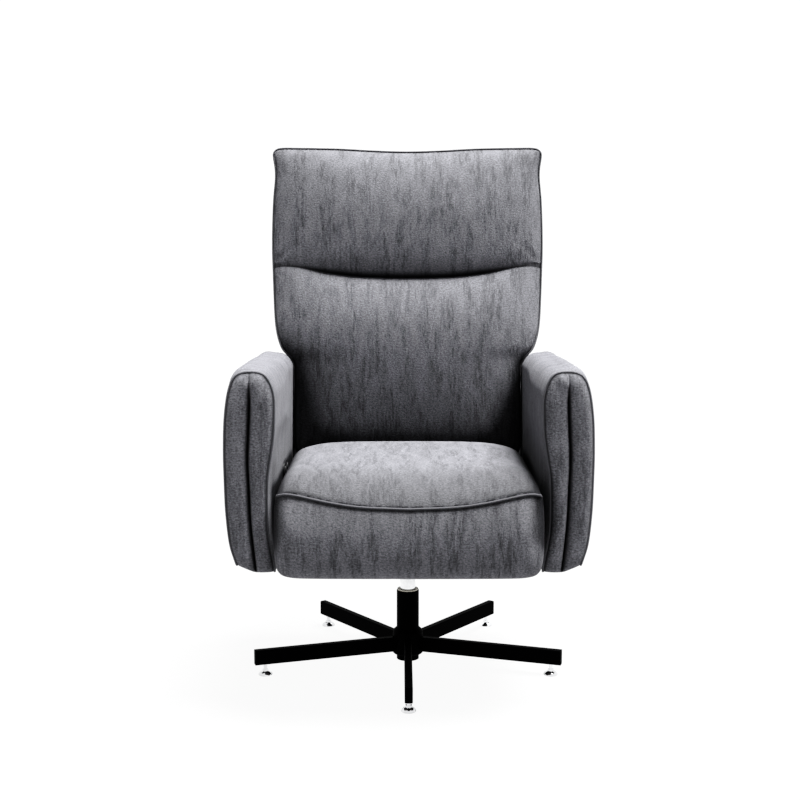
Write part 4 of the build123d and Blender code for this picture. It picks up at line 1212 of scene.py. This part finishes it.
# dust cloth stapled under the frame, with a hole for the swivel plate
cloth = Cloth("underside_dust_cloth")
xs = np.unique(np.r_[np.linspace(-242, -95.3, 20), np.linspace(-95.3, 95.3, 17), np.linspace(95.3, 242, 20)])
yg = np.unique(np.r_[np.linspace(-300, -95.3, 26), np.linspace(-95.3, 95.3, 17), np.linspace(95.3, 248, 20)])
X, Y = np.meshgrid(xs, yg)
near = np.minimum(np.minimum(242 - np.abs(X), np.minimum(Y + 300, 248 - Y)), np.maximum(np.abs(X), np.abs(Y)) - 95.3)
sag = 3.2 * roll(np.clip(near, 0, 60) / 60, 2.0, 0.8)
# the hole's corners follow the rounded corners of the plate
pull_x, pull_y = np.zeros(X.shape), np.zeros(X.shape)
for kx in (-1, 1):
    for ky in (-1, 1):
        pull = 5.3 * np.exp(-((X - kx * 95.3) ** 2 + (Y - ky * 95.3) ** 2) / 9.0**2)
        pull_x += kx * pull
        pull_y += ky * pull
X, Y = X - pull_x, Y - pull_y
low = np.dstack([X, Y, 288.4 - sag])
high = np.dstack([X, Y, 290.2 - sag])
nx, ny = len(xs), len(yg)
ix0, ix1 = np.where(np.isclose(xs, -95.3))[0][0], np.where(np.isclose(xs, 95.3))[0][0]
iy0, iy1 = np.where(np.isclose(yg, -95.3))[0][0], np.where(np.isclose(yg, 95.3))[0][0]
# painted shade towards the cloth's edges and round the hole, next to the frame and plate
painted_edge_shade = np.exp(-((near / 7.0) ** 2))
for g_ in (low, high):
    for ya, yb, xa, xb in ((0, iy0, 0, nx - 1), (iy1, ny - 1, 0, nx - 1), (iy0, iy1, 0, ix0), (iy0, iy1, ix1, nx - 1)):
        sub = g_[ya : yb + 1, xa : xb + 1]
        cloth.grid(sub, u=sub[:, :, 0], v=sub[:, :, 1], seam=painted_edge_shade[ya : yb + 1, xa : xb + 1])
for q in ((low[0], high[0]), (low[-1], high[-1]), (low[:, 0], high[:, 0]), (low[:, -1], high[:, -1]),
          (low[iy0, ix0 : ix1 + 1], high[iy0, ix0 : ix1 + 1]), (low[iy1, ix0 : ix1 + 1], high[iy1, ix0 : ix1 + 1]),
          (low[iy0 : iy1 + 1, ix0], high[iy0 : iy1 + 1, ix0]), (low[iy0 : iy1 + 1, ix1], high[iy0 : iy1 + 1, ix1])):
    cloth.grid(np.stack(q))
dust = cloth.build()
dress(dust, lining)
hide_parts("underside_cover")
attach(dust, "seat")

# ======================================================================================
# Floor and light
# ======================================================================================


def stage():
    bm = bmesh.new()
    bmesh.ops.create_grid(bm, x_segments=12, y_segments=12, size=60)
    me = bpy.data.meshes.new("studio_floor")
    bm.to_mesh(me)
    bm.free()
    ob = bpy.data.objects.new("studio_floor", me)
    scene.collection.objects.link(ob)
    m = Nodes("pale_floor")
    n = m.noise(m.place(), 3.0, 3.0)
    m.colour(m.mix(m.fit(n, 0.3, 0.7, 0, 1), (0.018, 0.018, 0.018, 1), (0.022, 0.022, 0.022, 1)))
    m.set(Roughness=0.9, Specular_IOR_Level=0.0, Emission_Color=(1, 1, 1, 1), Emission_Strength=0.95)
    me.materials.append(m.mat)
    # white backdrop all round, seen by the camera and in the chrome
    bm = bmesh.new()
    bmesh.ops.create_uvsphere(bm, u_segments=48, v_segments=24, radius=58)
    me = bpy.data.meshes.new("studio_backdrop")
    bm.to_mesh(me)
    bm.free()
    ob = bpy.data.objects.new("studio_backdrop", me)
    scene.collection.objects.link(ob)
    m = Nodes("white_backdrop")
    n = m.noise(m.place(), 0.4, 2.0)
    m.colour(m.mix(m.fit(n, 0.3, 0.7, 0, 1), (0.018, 0.018, 0.018, 1), (0.022, 0.022, 0.022, 1)))
    m.set(Roughness=1.0, Specular_IOR_Level=0.0, Emission_Color=(1, 1, 1, 1), Emission_Strength=1.05)
    me.materials.append(m.mat)
    ob.visible_diffuse = False
    ob.visible_shadow = False


stage()
world = bpy.data.worlds.new("studio")
scene.world = world
world.use_nodes = True
wt = world.node_tree
bg = wt.nodes["Background"]
# dim all-round light, so that the key light shapes the upholstery
bg.inputs["Color"].default_value = (1.0, 1.0, 1.0, 1)
bg.inputs["Strength"].default_value = 0.39


def sun(name, towards, angle, strength):
    """A broad soft light that falls evenly, from the direction given."""
    d = bpy.data.lights.new(name, "SUN")
    d.energy = strength
    d.angle = radians(angle)
    o = bpy.data.objects.new(name, d)
    o.rotation_euler = (-Vector(towards)).to_track_quat("-Z", "Y").to_euler()
    o.location = (0, 0, 3)
    scene.collection.objects.link(o)


sun("key", (0.275, 0.035, 0.96), 36, 16.4)
sun("fill", (-0.85, -0.35, 0.35), 60, 0.55)
